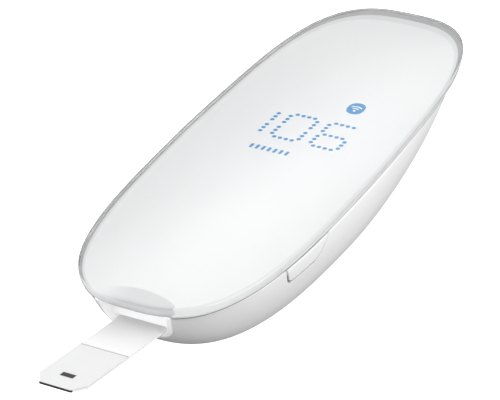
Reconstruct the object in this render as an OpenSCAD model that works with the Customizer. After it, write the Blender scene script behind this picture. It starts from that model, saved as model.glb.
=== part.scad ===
// Pocket blood glucose meter with a test strip in its port.
// Frame: origin at the middle of the flat base, +Z up, +Y to the charging end, +X to the key's side.

/* [Body] */
// Length of the clear cover
body_length = 96; // [92:1:100]
// Width of the clear cover at its middle
body_width = 34.8; // [34:0.1:37]
// Height from the base to the top of the crown
body_height = 18; // [18:0.5:20]
// Thickness of the lower casing's wall
wall = 1.6; // [1.2:0.1:1.8]
// Rise of the cover's top face from its rim to its middle
crown = 0.35; // [0.2:0.05:0.5]
// Thickness of the clear cover at its rim
cover_thick = 1.3; // [1:0.1:1.5]

/* [Display] */
// Distance from one digit to the next
digit_pitch = 6.98; // [6.9:0.01:7.2]
// Diameter of one light dot
dot_d = 0.66; // [0.5:0.01:0.75]
// Lean of the digits, in degrees
digit_lean = 2.8; // [0:0.1:6]

/* [Strip] */
// Width of the test strip
strip_w = 8.1; // [7:0.1:8.3]
// Length of strip in front of the port face
strip_out = 23.5; // [18:0.5:30]
// Length of strip behind the port face
strip_in = 10.5; // [9:0.5:10.5]
// Thickness of the whole strip
strip_t = 0.45; // [0.35:0.05:0.5]
// Slope of the strip against the cover, in degrees
strip_slope = 10.65; // [9:0.05:12]

/* [Moving parts] */
// Travel of the strip ejector
eject_travel = 4; // [3:0.5:4]
// Clearance between a pin and its bore, on the radius
pin_gap = 0.03; // [0.02:0.01:0.06]

/* [Hidden] */
$fn = 48;
e = 0.01;

half_l = body_length / 2;
half_w = body_width / 2;

// Levels of the stack, from the top down
cover_rim_z = body_height - crown;
cover_z = cover_rim_z - cover_thick;
film_t = 0.1;
flange_z = cover_z - film_t;
flange_t = 0.3;
seam_gap = 0.06;
shell_z = flange_z - flange_t - seam_gap;
tray_z = shell_z - 0.84;
board_top = tray_z - 0.95;
board_t = 0.8;
board_z = board_top - board_t;

// Plan of the body: flare along the length, and how full its ends and sides are
flare = [-0.0142, 0.329, 0.0344, -0.0722];
end_power = 1.732;
side_power = 2.964;

// Belly of the lower casing: where it is deepest, and how it falls to either end
deepest_y = -2;
belly = shell_z + 0.6;
near_fall = [2.94, 1.61];
far_fall = [2.0, 1.8];
// Section powers [width, depth] at the deepest place and at either end
section_mid = [3.1, 1.9];
section_near = [3.5, 0.84];
section_far = [1.78, 0.82];
// How far the casing's rim stands in under the cover, and how much more at either tip
rim_in = 0.27;
near_tuck = 1.07;
far_tuck = 1.53;
floor_t = 1.5;
// Rest pad under the belly: half width, half length, corner cut and height
rest = [6.5, 9.5, 2, 0.25];

// Strip port
port_y = -45;
port_z = 12.09;
port_top_w = 6.25;
port_low_w = 5.85;
port_low_z = 10.75;
port_back_r = 12.2;
port_lip = 0.6;
port_r = 2.7;
slot_w = strip_w + 0.7;
slot_top = 0.62;

// Key in the right wall, [y, z] corners from the seam down
key_near = [-28.7, -27.4];
key_far = [-17.1, -19.4];
key_h = 3.15;
key_gap = 0.28;
key_pin_at = [13, -17];
key_pin_r = 0.6;
key_foot_z = 11.6;
switch_at = [8, -24.5];

// Strip ejector in the left wall
thumb_y = [-33, -18];
thumb_z = [11.9, 15.5];
thumb_out = [16.2, 18.4];
neck_y = [-29.5, -23.5];
neck_z = [12.3, 14.5];
neck_in_x = -11;
peg_at = [-26.5, 13];
peg_r = 0.6;
spring_at = [-12.4, 13.3];
spring_y = [-23.4, -11.9];
spring_r = 1.0;
spring_wire = 0.16;
spring_turns = 11;

screw_at = [[8.4, -37.5], [-8.4, -37.5], [9, 31], [-9, 31]];
digit_y = 6.15;
digit_x = [for (k = [-1:1]) -0.94 + k * digit_pitch];
digit_half_w = 2.4;
row_dy = 3.75;
dot_pitch = 1.05;
badge_at = [5.54, 15.27];
badge_d = 3.1;
bar_y = -1.46;
bar_x = [for (k = [-3:3]) -1.56 + 1.05 * k];

function mix(a, b, t) = a + (b - a) * t;

// Half width of the cover at u, from -1 at the near tip to 1 at the far tip
function rim_half(u) = half_w
    * (1 + flare[0] * u + flare[1] * u * u + flare[2] * pow(u, 3) + flare[3] * pow(u, 4))
    * pow(max(0, 1 - pow(abs(u), end_power)), 1 / side_power);
function rim_raw(t) = [(sin(t) >= 0 ? 1 : -1) * rim_half(-cos(t)), -half_l * cos(t)];
function rim_at(t, inset) = let (d = rim_raw(t + 0.7) - rim_raw(t - 0.7))
    rim_raw(t) + inset * [-d[1], d[0]] / norm(d);
function rim_outline(inset, n = 120) = [for (k = [0:n - 1]) rim_at(360 * k / n, inset)];

// The lower casing's outside: depth under the seam, and half width at a depth
function fall(y) = y < deepest_y ? (deepest_y - y) / (deepest_y + half_l)
                                 : (y - deepest_y) / (half_l - deepest_y);
function depth_at(y) = let (p = y < deepest_y ? near_fall : far_fall)
    belly * pow(max(0, 1 - pow(fall(y), p[0])), 1 / p[1]);
function section_at(y) = mix(section_mid, y < deepest_y ? section_near : section_far,
    pow(fall(y), y < deepest_y ? 1.2 : 2));
function shell_rim(y) = max(0.1, rim_half(y / half_l) - rim_in
    - (y < deepest_y ? near_tuck * pow(fall(y), 6) : far_tuck * pow(fall(y), 2)));
function shell_half(y, d) = let (s = section_at(y))
    shell_rim(y) * pow(max(0, 1 - pow(d / depth_at(y), s[1])), 1 / s[0]);

// Inside of the casing, as a smaller copy of the outside
in_x = (half_w - wall) / half_w;
in_y = (half_l - wall) / half_l;
in_z = (shell_z - floor_t) / belly;
function inner_half(y, d) = in_x * shell_half(y / in_y, d / in_z);

function ring(a, m, kx, ky, kz) = let (y = -half_l * cos(a), s = section_at(y),
        w = shell_rim(y), h = depth_at(y))
    [for (i = [0:m]) let (c = cos(180 * i / m), n = sin(180 * i / m))
        [kx * w * sign(c) * pow(abs(c), 2 / s[0]), ky * y,
         max(rest[3], shell_z - kz * h * pow(abs(n), 2 / s[1]))]];

function skin(m, n, at, flip) = [for (j = [0:n - 1], i = [0:m - 1])
    let (a = at + j * (m + 1) + i, b = a + m + 1)
        flip ? [a, a + 1, b + 1, b] : [a, b, b + 1, a + 1]];

// Solid that fills the lower casing's outside, between two places along it
module casing_solid(a0 = 4, a1 = 176, n = 40, m = 24) {
    points = [for (j = [0:n]) each ring(mix(a0, a1, j / n), m, 1, 1, 1)];
    top = [for (j = [0:n - 1]) let (a = j * (m + 1), b = a + m + 1) [a, a + m, b + m, b]];
    polyhedron(points, concat(skin(m, n, 0, false), top,
        [[for (i = [0:m]) i], [for (i = [m:-1:0]) n * (m + 1) + i]]));
}

module casing_wall(a0 = 4, a1 = 176, n = 40, m = 24) {
    size = (n + 1) * (m + 1);
    points = concat([for (j = [0:n]) each ring(mix(a0, a1, j / n), m, 1, 1, 1)],
        [for (j = [0:n]) each ring(mix(a0, a1, j / n), m, in_x, in_y, in_z)]);
    edge = [for (j = [0:n - 1]) let (a = j * (m + 1), b = a + m + 1)
        each [[a, size + a, size + b, b], [a + m, b + m, size + b + m, size + a + m]]];
    last = n * (m + 1);
    ends = [[0, m, size + m, size], [last, size + last, size + last + m, last + m],
        [for (i = [0:m]) i], [for (i = [m:-1:0]) last + i],
        [for (i = [m:-1:0]) size + i], [for (i = [0:m]) size + last + i]];
    polyhedron(points, concat(skin(m, n, 0, false), skin(m, n, size, true), edge, ends));
}

// Flat plate with the plan of the cover, or with the plan of the casing's inside at a depth
module rim_plate(z0, z1, inset) {
    translate([0, 0, z0]) linear_extrude(z1 - z0) polygon(rim_outline(inset));
}

module inner_plate(z0, z1, d, gap, y0, y1, n = 40) {
    ys = [for (k = [0:n]) mix(y0, y1, (1 - cos(180 * k / n)) / 2)];
    right = [for (y = ys) [inner_half(y, d) - gap, y]];
    left = [for (k = [n:-1:0]) [gap - inner_half(ys[k], d), ys[k]]];
    translate([0, 0, z0]) linear_extrude(z1 - z0) polygon(concat(right, left));
}

module box(x0, x1, y0, y1, z0, z1) {
    translate([x0, y0, z0]) cube([x1 - x0, y1 - y0, z1 - z0]);
}

module post(x, y, r, z0, z1) {
    translate([x, y, z0]) cylinder(r = r, h = z1 - z0);
}

// Puts a piece in the strip's own frame: its origin is the middle of the strip's top face
// at the port, local -Y runs out along the strip and local +Z is square to it
module at_strip() {
    translate([0, port_y, port_z]) rotate([-strip_slope, 0, 0]) children();
}

// ---- Top stack ----

module clear_cover() {
    n = 120;
    // [inset at the tips, inset at the sides, size, height]
    rings = [[0.1, 0.25, 1, cover_z], [0, 0, 1, cover_rim_z - 0.45], [0, 0, 1, cover_rim_z - 0.16],
        [0.05, 0.05, 1, cover_rim_z - 0.05], [0.18, 0.18, 1, cover_rim_z],
        for (k = [0.94, 0.82, 0.66, 0.46, 0.24]) [0.18, 0.18, k, cover_rim_z + crown * (1 - k * k)]];
    points = concat([for (r = rings, k = [0:n - 1]) let (t = 360 * k / n,
            p = r[2] * rim_at(t, mix(r[0], r[1], abs(sin(t))))) [p[0], p[1], r[3]]],
        [[0, 0, body_height]]);
    last = len(rings) - 1;
    color([0.93, 0.95, 0.96, 0.35]) polyhedron(points, concat(
        [[for (k = [0:n - 1]) k]],
        [for (j = [0:last - 1], k = [0:n - 1]) let (a = j * n + k, b = j * n + (k + 1) % n)
            [a, a + n, b + n, b]],
        [for (k = [0:n - 1]) [last * n + k, (last + 1) * n, last * n + (k + 1) % n]]));
}

// Plan of the port's room in the tray, with an arc for its back
module port_notch(grow) {
    w = port_top_w + 0.4 + grow;
    back = port_y + 1.6;
    linear_extrude(4) intersection() {
        translate([-w, -half_l - 2]) square([2 * w, 12]);
        translate([0, back - port_back_r]) circle(port_back_r + grow, $fn = 96);
    }
}

module printed_film() {
    color("white") rim_plate(flange_z, cover_z, 0.3);
}

module upper_shell() {
    color("white") difference() {
        union() {
            rim_plate(flange_z - flange_t, flange_z, 0.3);
            rim_plate(shell_z, flange_z - flange_t, 0.9);
            inner_plate(tray_z, shell_z, 0.9, 0.2, -45.5, 45);
            for (p = screw_at) post(p[0], p[1], 1.8, board_top, tray_z + e);
            key_bracket();
            box(-13.4, -11.4, spring_y[1] + 0.1, spring_y[1] + 1.3, 12.4, tray_z + e);
        }
        translate([0, 0, tray_z - 1]) port_notch(0.1);
        // Pocket for the light baffle, up to a thin skin that the light shines through
        translate([0, 0, tray_z - e]) linear_extrude(shell_z + 0.1 - tray_z + e) baffle_plan(0.1);
        // Room for the key as it is pressed
        box(13.9, 18, key_near[0] - 1, -18.4, tray_z - e, shell_z);
        for (p = screw_at) post(p[0], p[1], 0.72, board_top - e, tray_z + 0.4);
        post(key_pin_at[0], key_pin_at[1], key_pin_r, key_foot_z - 1, shell_z - 0.2);
    }
}

// Arm under the tray that carries the lower end of the key's pin
module key_bracket() {
    box(11.6, 14, -15.6, -14.6, key_foot_z, tray_z + e);
    box(11.6, 14, -18, -14.6, key_foot_z, key_foot_z + 0.9);
}

// ---- Display ----

function cell_dots(cx) = [
    for (s = [-1, 1], h = [-1, 1], k = [-1:1]) [cx + s * digit_half_w, digit_y + h * 1.9 + k * dot_pitch],
    for (r = [-1:1], k = [-1.5:1:1.5]) [cx + k * dot_pitch, digit_y + r * row_dy]];
function lean(p) = [p[0] + (p[1] - digit_y) * tan(digit_lean), p[1]];
all_dots = [for (x = digit_x, p = cell_dots(x)) lean(p)];

// Plan of the baffle: digits, badge and row of marks, grown by a gap
module baffle_plan(grow) {
    for (b = [[-12.1, 9.3, 1.3, 11.3], [badge_at[0] - 2.2, badge_at[0] + 2.2, 11, badge_at[1] + 2.2],
            [-6.2, 2.5, -3, 1.6]])
        translate([b[0] - grow, b[2] - grow]) square([b[1] - b[0] + 2 * grow, b[3] - b[2] + 2 * grow]);
}

module light_baffle() {
    color("whitesmoke") difference() {
        union() {
            translate([0, 0, board_top]) linear_extrude(shell_z + 0.05 - board_top) baffle_plan(0);
        }
        for (p = all_dots) post(p[0], p[1], dot_d / 2 + 0.07, board_top - 1, shell_z + 1);
        post(badge_at[0], badge_at[1], badge_d / 2, board_top - 1, shell_z + 1);
        for (x = bar_x) box(x - 0.3, x + 0.3, bar_y - 0.65, bar_y + 0.65, board_top - 1, shell_z + 1);
    }
}

module display_leds() {
    s = 0.24;
    color("gold") {
        for (p = all_dots) box(p[0] - s, p[0] + s, p[1] - s, p[1] + s, board_top, board_top + 0.35);
        for (x = bar_x) box(x - s, x + s, bar_y - s, bar_y + s, board_top, board_top + 0.35);
        for (k = [-1, 1]) box(badge_at[0] + k - 0.5, badge_at[0] + k + 0.5, badge_at[1] - 0.4,
            badge_at[1] + 0.4, board_top, board_top + 0.5);
    }
}

// ---- Board and what is on it ----

module main_board() {
    color("darkgreen") difference() {
        inner_plate(board_z, board_top, 2.6, 0.5, -41.8, 42);
        box(12.3, 18, -30, -13.8, 0, 20);
        box(11.3, 18, -19.8, -13.8, 0, 20);
        box(-18, -10.9, -36, -9, 0, 20);
        box(-18, -8.7, -36, -19, 0, 20);
        for (p = screw_at) post(p[0], p[1], 0.8, 0, 20);
    }
}

// Flat chip under the board with metal pads along its sides
module chip(x, y, w, l, t) {
    box(x - w / 2, x + w / 2, y - l / 2, y + l / 2, board_z - t, board_z);
}

module microcontroller() { color("dimgray") chip(0, -4, 7, 7, 0.9); }
module measuring_chip() { color("dimgray") chip(1, -22, 5, 5, 0.9); }
module charger_chip() { color("dimgray") chip(5.5, 33, 3, 3, 0.8); }
module chip_antenna() { color("ivory") chip(-5, 37.5, 3.2, 1.6, 1.1); }
module crystal() { color("silver") chip(-6.5, -4, 3.2, 1.5, 0.8); }

module memory_chip() {
    color("dimgray") chip(8.5, 3, 4, 5, 1.2);
    color("silver") for (s = [-1, 1], k = [-1.5:1:1.5])
        box(8.5 + s * 2.4 - 0.4, 8.5 + s * 2.4 + 0.4, 3 + k * 1.27 - 0.2, 3 + k * 1.27 + 0.2,
            board_z - 0.3, board_z);
}

// Shield can with a turned-in lip
module radio_module() {
    color("silver") difference() {
        chip(-5, 24.4, 8, 10, 1.8);
        translate([0, 0, 0.3]) chip(-5, 24.4, 7.4, 9.4, 1.8);
    }
}

module capacitors() {
    color("tan") for (p = [[3, 3], [3, 6], [-3, 6], [-6, 8], [6, 9], [-6, -10], [4, -11], [7, -14],
            [-4, -17], [5, -28], [-5, -28], [6.5, 20], [4, 28], [1, 34], [-1, 36.5]])
        chip(p[0], p[1], 1, 0.5, 0.5);
}

module board_screws() {
    color("silver") for (p = screw_at) difference() {
        union() {
            post(p[0], p[1], 0.7, board_z - 0.5, tray_z + 0.3);
            post(p[0], p[1], 1.3, board_z - 0.9, board_z);
        }
        box(p[0] - 0.9, p[0] + 0.9, p[1] - 0.18, p[1] + 0.18, board_z - 2, board_z - 0.5);
        box(p[0] - 0.18, p[0] + 0.18, p[1] - 0.9, p[1] + 0.9, board_z - 2, board_z - 0.5);
    }
}

// ---- Power ----

battery_y = [-14, 14];
battery_z = [4.8, 9.8];
battery_w = 18;

module battery() {
    r = 1;
    color("silver") translate([0, battery_y[1], 0]) rotate([90, 0, 0])
        linear_extrude(battery_y[1] - battery_y[0]) hull()
            for (x = [-1, 1], z = battery_z)
                translate([x * (battery_w / 2 - r), z == battery_z[0] ? z + r : z - r])
                    circle(r, $fn = 24);
}

module battery_pad() { color("gray") box(-5.5, 5.5, -9.5, 9.5, 2.4, battery_z[0]); }

// Two short leads side by side, each a round tube swept along a route in an upright plane
lead_r = 0.4;
lead_route = [[battery_y[1] + 0.05, 8.4], [battery_y[1] + 0.8, 8.4], [battery_y[1] + 1.6, 8.8],
    [battery_y[1] + 2.4, 10], [battery_y[1] + 3.1, 11.2], [battery_y[1] + 3.9, 11.6],
    [battery_y[1] + 4.75, 11.6]];
module lead(x) {
    sides = 10;
    last = len(lead_route) - 1;
    function along(k) = lead_route[min(k + 1, last)] - lead_route[max(k - 1, 0)];
    points = [for (k = [0:last], i = [0:sides - 1]) let (t = along(k) / norm(along(k)),
            a = 360 * i / sides)
        [x + lead_r * cos(a), lead_route[k][0] - lead_r * sin(a) * t[1],
         lead_route[k][1] + lead_r * sin(a) * t[0]]];
    polyhedron(points, concat([[for (i = [0:sides - 1]) i],
        [for (i = [sides - 1:-1:0]) last * sides + i]],
        [for (k = [0:last - 1], i = [0:sides - 1]) let (a = k * sides + i,
            b = k * sides + (i + 1) % sides) [a, a + sides, b + sides, b]]));
}
module battery_leads() {
    color("black") lead(1.35);
    color("red") lead(2.65);
}
module battery_socket() {
    color("ivory") difference() {
        box(0, 4, battery_y[1] + 4.1, battery_y[1] + 7.5, board_z - 2.9, board_z);
        for (s = [-1, 1]) translate([2 + 0.65 * s, battery_y[1] + 4, 11.6]) rotate([-90, 0, 0])
            cylinder(r = lead_r + 0.1, h = 1.4, $fn = 24);
    }
}

usb_w = 7.5;
usb_h = 2.5;
usb_y = [38.4, 43.6];
module usb_port() {
    color("silver") difference() {
        box(-usb_w / 2, usb_w / 2, usb_y[0], usb_y[1], board_z - usb_h, board_z);
        box(-usb_w / 2 + 0.3, usb_w / 2 - 0.3, usb_y[0] + 0.6, usb_y[1] + 1, board_z - usb_h + 0.3,
            board_z - 0.3);
    }
}
module usb_tongue() {
    color("black") {
        box(-usb_w / 2 + 0.35, usb_w / 2 - 0.35, usb_y[0] + 0.65, usb_y[0] + 1.6,
            board_z - usb_h + 0.35, board_z - 0.35);
        box(-1.9, 1.9, usb_y[0] + 1.5, usb_y[1] - 0.7, board_z - 1.1, board_z - 0.55);
    }
}

// ---- Lower casing ----

// Side view of the key, grown by a gap, as a bar through the right wall
module key_opening(grow) {
    corners = [[key_near[0] - grow, shell_z + 1], [key_near[0] - grow, shell_z],
        [key_near[1] - grow * 0.8, shell_z - key_h - grow],
        [key_far[1] + grow, shell_z - key_h - grow], [key_far[0] + grow, shell_z],
        [key_far[0] + grow, shell_z + 1]];
    translate([11.8, 0, 0]) rotate([90, 0, 90]) linear_extrude(7) polygon(corners);
}

// Front view of the port, grown by a gap
module port_profile(grow) {
    r = port_r + grow;
    low = port_low_z - grow;
    hull() {
        for (s = [-1, 1]) translate([s * (port_low_w + grow - r), low + r]) circle(r, $fn = 48);
        translate([-port_top_w - grow, shell_z - 0.5]) square([2 * (port_top_w + grow), 2]);
    }
}
module port_bar(grow, y0, y1) {
    translate([0, y1, 0]) rotate([90, 0, 0]) linear_extrude(y1 - y0) port_profile(grow);
}

module usb_opening() {
    z = board_z - usb_h / 2;
    w = usb_w / 2 + 0.4;
    r = 1.2;
    box(-w, w, usb_y[0] + 1.6, usb_y[1] + 0.2, z - 1.5, z + 1.5);
    box(-w + r, w - r, usb_y[1], half_l + 1, z - 1.6, z + 1.6);
    box(-w, w, usb_y[1], half_l + 1, z - 1.6 + r, z + 1.6 - r);
    for (s = [-1, 1], t = [-1, 1])
        translate([s * (w - r), usb_y[1], z + t * (1.6 - r)]) rotate([-90, 0, 0]) cylinder(r = r, h = 8);
}

// Flat pad that the meter rests on, a little proud of the belly
module rest_pad() {
    x = rest[0];
    y = rest[1];
    c = rest[2];
    linear_extrude(0.9) polygon([[-x, c - y], [c - x, -y], [x - c, -y], [x, c - y], [x, y - c],
        [x - c, y], [c - x, y], [-x, y - c]]);
}

module lower_shell() {
    color("white") difference() {
        union() {
            casing_wall();
            box(-7, 7, -11, 11, 1, 2.4);
            rest_pad();
        }
        port_bar(0.06, -half_l - 1, port_y + 3.6);
        key_opening(key_gap);
        box(-19, -11.5, neck_y[0] - eject_travel - 0.25, neck_y[1] + 0.25, neck_z[0] - 0.15,
            neck_z[1] + 0.15);
        usb_opening();
    }
}

module port_bezel() {
    color("white") difference() {
        intersection() {
            port_bar(0, -half_l, port_y + 3.2);
            union() {
                casing_solid(4, 40, 14);
                rim_plate(shell_z - e, flange_z, 0.3);
            }
        }
        // Above the tray's underside it stays inside the notch
        difference() {
            box(-8, 8, -half_l - 1, port_y + 4, tray_z - 0.05, cover_z + 1);
            translate([0, 0, tray_z - 1]) port_notch(-0.06);
        }
        port_recess();
        at_strip() box(-slot_w / 2, slot_w / 2, -1, 6, -0.75, slot_top);
    }
}

// Recess in front of the port face, open upwards under the clear cover
module port_recess() {
    r = port_r - port_lip;
    translate([0, port_y, 0]) rotate([90, 0, 0]) linear_extrude(6) hull() {
        for (s = [-1, 1]) translate([s * (port_low_w - port_r), port_low_z + port_r]) circle(r, $fn = 48);
        translate([port_lip - port_top_w, shell_z - 0.5]) square([2 * (port_top_w - port_lip), 3]);
    }
}

// ---- Strip connector ----

contact_x = [for (k = [-2:2]) 1.5 * k];
module strip_connector() {
    color("ivory") difference() {
        intersection() {
            box(-5.4, 5.4, -41.2, -32, 6, board_z);
            at_strip() box(-8, 8, 0, 16, -1.3, 8);
        }
        at_strip() box(-strip_w / 2 - 0.12, strip_w / 2 + 0.12, -1, 18, -strip_t - 0.15, 0.15);
        for (x = contact_x) at_strip() box(x - 0.35, x + 0.35, 5.6, 12.6, 0, 1.7);
    }
}
module connector_contacts() {
    color("gold") for (x = contact_x) at_strip() translate([x - 0.25, 0, 0]) rotate([90, 0, 90])
        linear_extrude(0.5) polygon([[12.6, 1.5], [12.6, 1.68], [11.4, 1.68], [7.3, 0.24], [6.4, 0.6],
            [6.3, 0.45], [7.3, 0.04], [11.45, 1.5]]);
}

// ---- Key ----

// Corner points of the key's skin: s runs from its near end to its far end, t from the seam down
function key_y(s, t) = mix(mix(key_near[0], key_near[1], t), mix(key_far[0], key_far[1], t), s);
function key_point(s, t, back) = let (y = key_y(s, t), d = 0.12 + t * (key_h - 0.12))
    [shell_half(y, d) + 0.1 - back, y, shell_z - d];
module key_skin(n = 16, m = 4) {
    size = (n + 1) * (m + 1);
    points = [for (b = [0, 1.2], j = [0:n], i = [0:m]) key_point(j / n, i / m, b)];
    near = [for (i = [0:m - 1]) [i, i + 1, size + i + 1, size + i]];
    far = [for (i = [0:m - 1]) let (a = n * (m + 1) + i) [a, size + a, size + a + 1, a + 1]];
    top = [for (j = [0:n - 1]) let (a = j * (m + 1), b = a + m + 1) [a, size + a, size + b, b]];
    low = [for (j = [0:n - 1]) let (a = j * (m + 1) + m, b = a + m + 1) [a, b, size + b, size + a]];
    polyhedron(points, concat(skin(m, n, 0, false), skin(m, n, size, true), near, far, top, low));
}
module power_key() {
    color("white") difference() {
        union() {
            key_skin();
            // Arm to the pin
            box(12.6, 15.8, -21.2, -19.3, 13.2, tray_z - 0.15);
            box(12.3, 13.7, -19.4, -17, 13.2, tray_z - 0.15);
            post(key_pin_at[0], key_pin_at[1], 1.3, key_foot_z + 1.1, tray_z - 0.15);
            // Nose that pushes the switch
            box(14.1, 15.5, -25.2, -23.8, shell_z - key_h + 0.1, tray_z - 0.15);
            box(13.45, 15, -25.2, -23.8, shell_z - key_h - 0.15, board_z - 0.05);
        }
        post(key_pin_at[0], key_pin_at[1], key_pin_r + pin_gap, 0, 20);
    }
}
module key_pin() {
    color("silver") post(key_pin_at[0], key_pin_at[1], key_pin_r, key_foot_z, shell_z - 0.25);
}
module key_switch() {
    color("gray") difference() {
        box(switch_at[0], switch_at[0] + 3.9, switch_at[1] - 1.9, switch_at[1] + 1.9, board_z - 2,
            board_z);
        box(switch_at[0] + 2.4, switch_at[0] + 4, switch_at[1] - 0.85, switch_at[1] + 0.85,
            board_z - 1.7, board_z - 0.3);
    }
}
module switch_plunger() {
    color("black") box(switch_at[0] + 2.9, 13.4, switch_at[1] - 0.7, switch_at[1] + 0.7,
        board_z - 1.65, board_z - 0.35);
}

// ---- Strip ejector ----

// Section of the thumb piece at a place along it: it stands out of the wall between rounded ends
function thumb_ring(y) = let (s = (y - thumb_y[0]) / (thumb_y[1] - thumb_y[0]),
        x = -(shell_rim(y) + 0.2), c = 0.35,
        out = (mix(thumb_out[0], thumb_out[1], s) + x) * (0.5 + 0.5 * pow(max(0, sin(180 * s)), 0.4)))
    [[x, y, thumb_z[1]], [x - out + c, y, thumb_z[1]], [x - out, y, thumb_z[1] - c],
     [x - out, y, thumb_z[0] + c], [x - out + c, y, thumb_z[0]], [x, y, thumb_z[0]]];
module ejector_thumb() {
    n = 24;
    points = [for (j = [0:n]) each thumb_ring(mix(thumb_y[0], thumb_y[1], (1 - cos(180 * j / n)) / 2))];
    sides = [for (j = [0:n - 1], i = [0:5]) let (a = j * 6 + i, b = j * 6 + (i + 1) % 6)
        [a, b, b + 6, a + 6]];
    color("white") union() {
        polyhedron(points, concat(sides, [[5, 4, 3, 2, 1, 0], [for (i = [0:5]) n * 6 + i]]));
        box(-16.6, neck_in_x, neck_y[0], neck_y[1], neck_z[0], neck_z[1]);
        translate([neck_in_x - e, peg_at[0], peg_at[1]]) rotate([0, 90, 0]) cylinder(r = peg_r, h = 1.9);
    }
}

module ejector_carriage() {
    rise = eject_travel * tan(strip_slope);
    color("whitesmoke") difference() {
        union() {
            at_strip() box(-strip_w / 2, strip_w / 2, strip_in + 0.05, 18, -0.55, -0.05);
            at_strip() box(-10.2, strip_w / 2, 17.6, 19.6, -1, 0.5);
            box(-10.2, -8.8, -28.4, -24.4, 8.5, peg_at[1] + 1.15);
        }
        // Upright slot for the thumb's peg
        translate([-12, peg_at[0], peg_at[1]]) rotate([0, 90, 0]) cylinder(r = peg_r + 0.05, h = 4);
        translate([-12, peg_at[0], peg_at[1] - rise - 0.1]) rotate([0, 90, 0])
            cylinder(r = peg_r + 0.05, h = 4);
        box(-12, -8, peg_at[0] - peg_r - 0.05, peg_at[0] + peg_r + 0.05, peg_at[1] - rise - 0.1,
            peg_at[1]);
    }
}

// Coil swept along its helix
module ejector_spring() {
    per_turn = 12;
    sides = 6;
    n = spring_turns * per_turn;
    length = spring_y[1] - spring_y[0];
    function centre(k) = [spring_r * cos(360 * k / per_turn), length * k / n,
        spring_r * sin(360 * k / per_turn)];
    points = [for (k = [0:n], i = [0:sides - 1]) let (c = centre(k), a = 360 * k / per_turn,
            b = 360 * i / sides, out = spring_wire * cos(b), up = spring_wire * sin(b))
        c + [out * cos(a), up, out * sin(a)]];
    color("silver") translate([spring_at[0], spring_y[0], spring_at[1]])
        polyhedron(points, concat([[for (i = [sides - 1:-1:0]) i], [for (i = [0:sides - 1]) n * sides + i]],
            [for (k = [0:n - 1], i = [0:sides - 1]) let (a = k * sides + i,
                b = k * sides + (i + 1) % sides) [a, b, b + sides, a + sides]]));
}

// ---- Test strip ----

tip_w = 5.2;
tip_cut = 2.35;
inlet_l = 0.25;
top_t = 0.05;
spacer_from = 10.2;
mask_from = -4;

// Plan of the strip between two places along it, measured out from the port face
module strip_plan(s0, s1) {
    tip = strip_out - tip_cut;
    w = strip_w / 2;
    function half_at(s) = s < tip ? w : mix(w, tip_w / 2, (s - tip) / tip_cut);
    stops = concat([s0], tip > s0 && tip < s1 ? [tip] : [], [s1]);
    polygon(concat([for (s = stops) [half_at(s), -s]],
        [for (k = [len(stops) - 1:-1:0]) [-half_at(stops[k]), -stops[k]]]));
}
module layer(z0, z1) {
    translate([0, 0, z0]) linear_extrude(z1 - z0) children();
}

window_s = [19.2, 20.4];
window_x = [-1.25, 0.95];
module window_plan(grow = 0) {
    translate([window_x[0] - grow, -window_s[1] - grow])
        square([window_x[1] - window_x[0] + 2 * grow, window_s[1] - window_s[0] + 2 * grow]);
}

module strip_base() {
    color("white") at_strip() layer(-strip_t, -2 * top_t) strip_plan(-strip_in, strip_out - inlet_l);
}
module strip_tracks() {
    color("dimgray") at_strip() layer(-2 * top_t, -1.4 * top_t) for (x = contact_x)
        translate([x - 0.45, -mask_from + 0.05]) square([0.9, strip_in + mask_from - 0.25]);
}
module strip_mask() {
    color("white") at_strip() layer(-2 * top_t, -top_t) strip_plan(mask_from, spacer_from - 0.05);
}
module strip_spacer() {
    color("lightgray") at_strip() layer(-2 * top_t, -top_t) difference() {
        strip_plan(spacer_from, strip_out - inlet_l);
        window_plan(0.02);
    }
}
module strip_reagent() {
    color("black") at_strip() layer(-2 * top_t, -1.2 * top_t) window_plan();
}
module strip_cover() {
    color("white") at_strip() layer(-top_t, 0) difference() {
        strip_plan(spacer_from + 0.3, strip_out);
        window_plan();
    }
}
module strip_inlet() {
    color("black") at_strip() layer(-strip_t + 0.03, -top_t) strip_plan(strip_out - inlet_l, strip_out);
}

clear_cover();
printed_film();
upper_shell();
light_baffle();
display_leds();
main_board();
microcontroller();
measuring_chip();
memory_chip();
charger_chip();
radio_module();
chip_antenna();
crystal();
capacitors();
board_screws();
battery();
battery_pad();
battery_leads();
battery_socket();
usb_port();
usb_tongue();
lower_shell();
port_bezel();
strip_connector();
connector_contacts();
power_key();
key_pin();
key_switch();
switch_plunger();
ejector_thumb();
ejector_carriage();
ejector_spring();
strip_base();
strip_tracks();
strip_mask();
strip_spacer();
strip_reagent();
strip_cover();
strip_inlet();
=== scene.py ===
"""Looks, light and camera for a pocket blood glucose meter with a test strip in its port.

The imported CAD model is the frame. Lengths in the classes are millimetres in the frame's own axes:
+Z up through the clear cover, +Y to the charging end, -Y out of the strip port, +X to the key.
"""

import logging
import math
from contextlib import contextmanager
from dataclasses import dataclass, field
from enum import Enum
from typing import Any, Callable, Iterable, Iterator, Sequence

import bmesh
import bpy
from mathutils import Matrix, Vector
from mathutils.kdtree import KDTree


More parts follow.
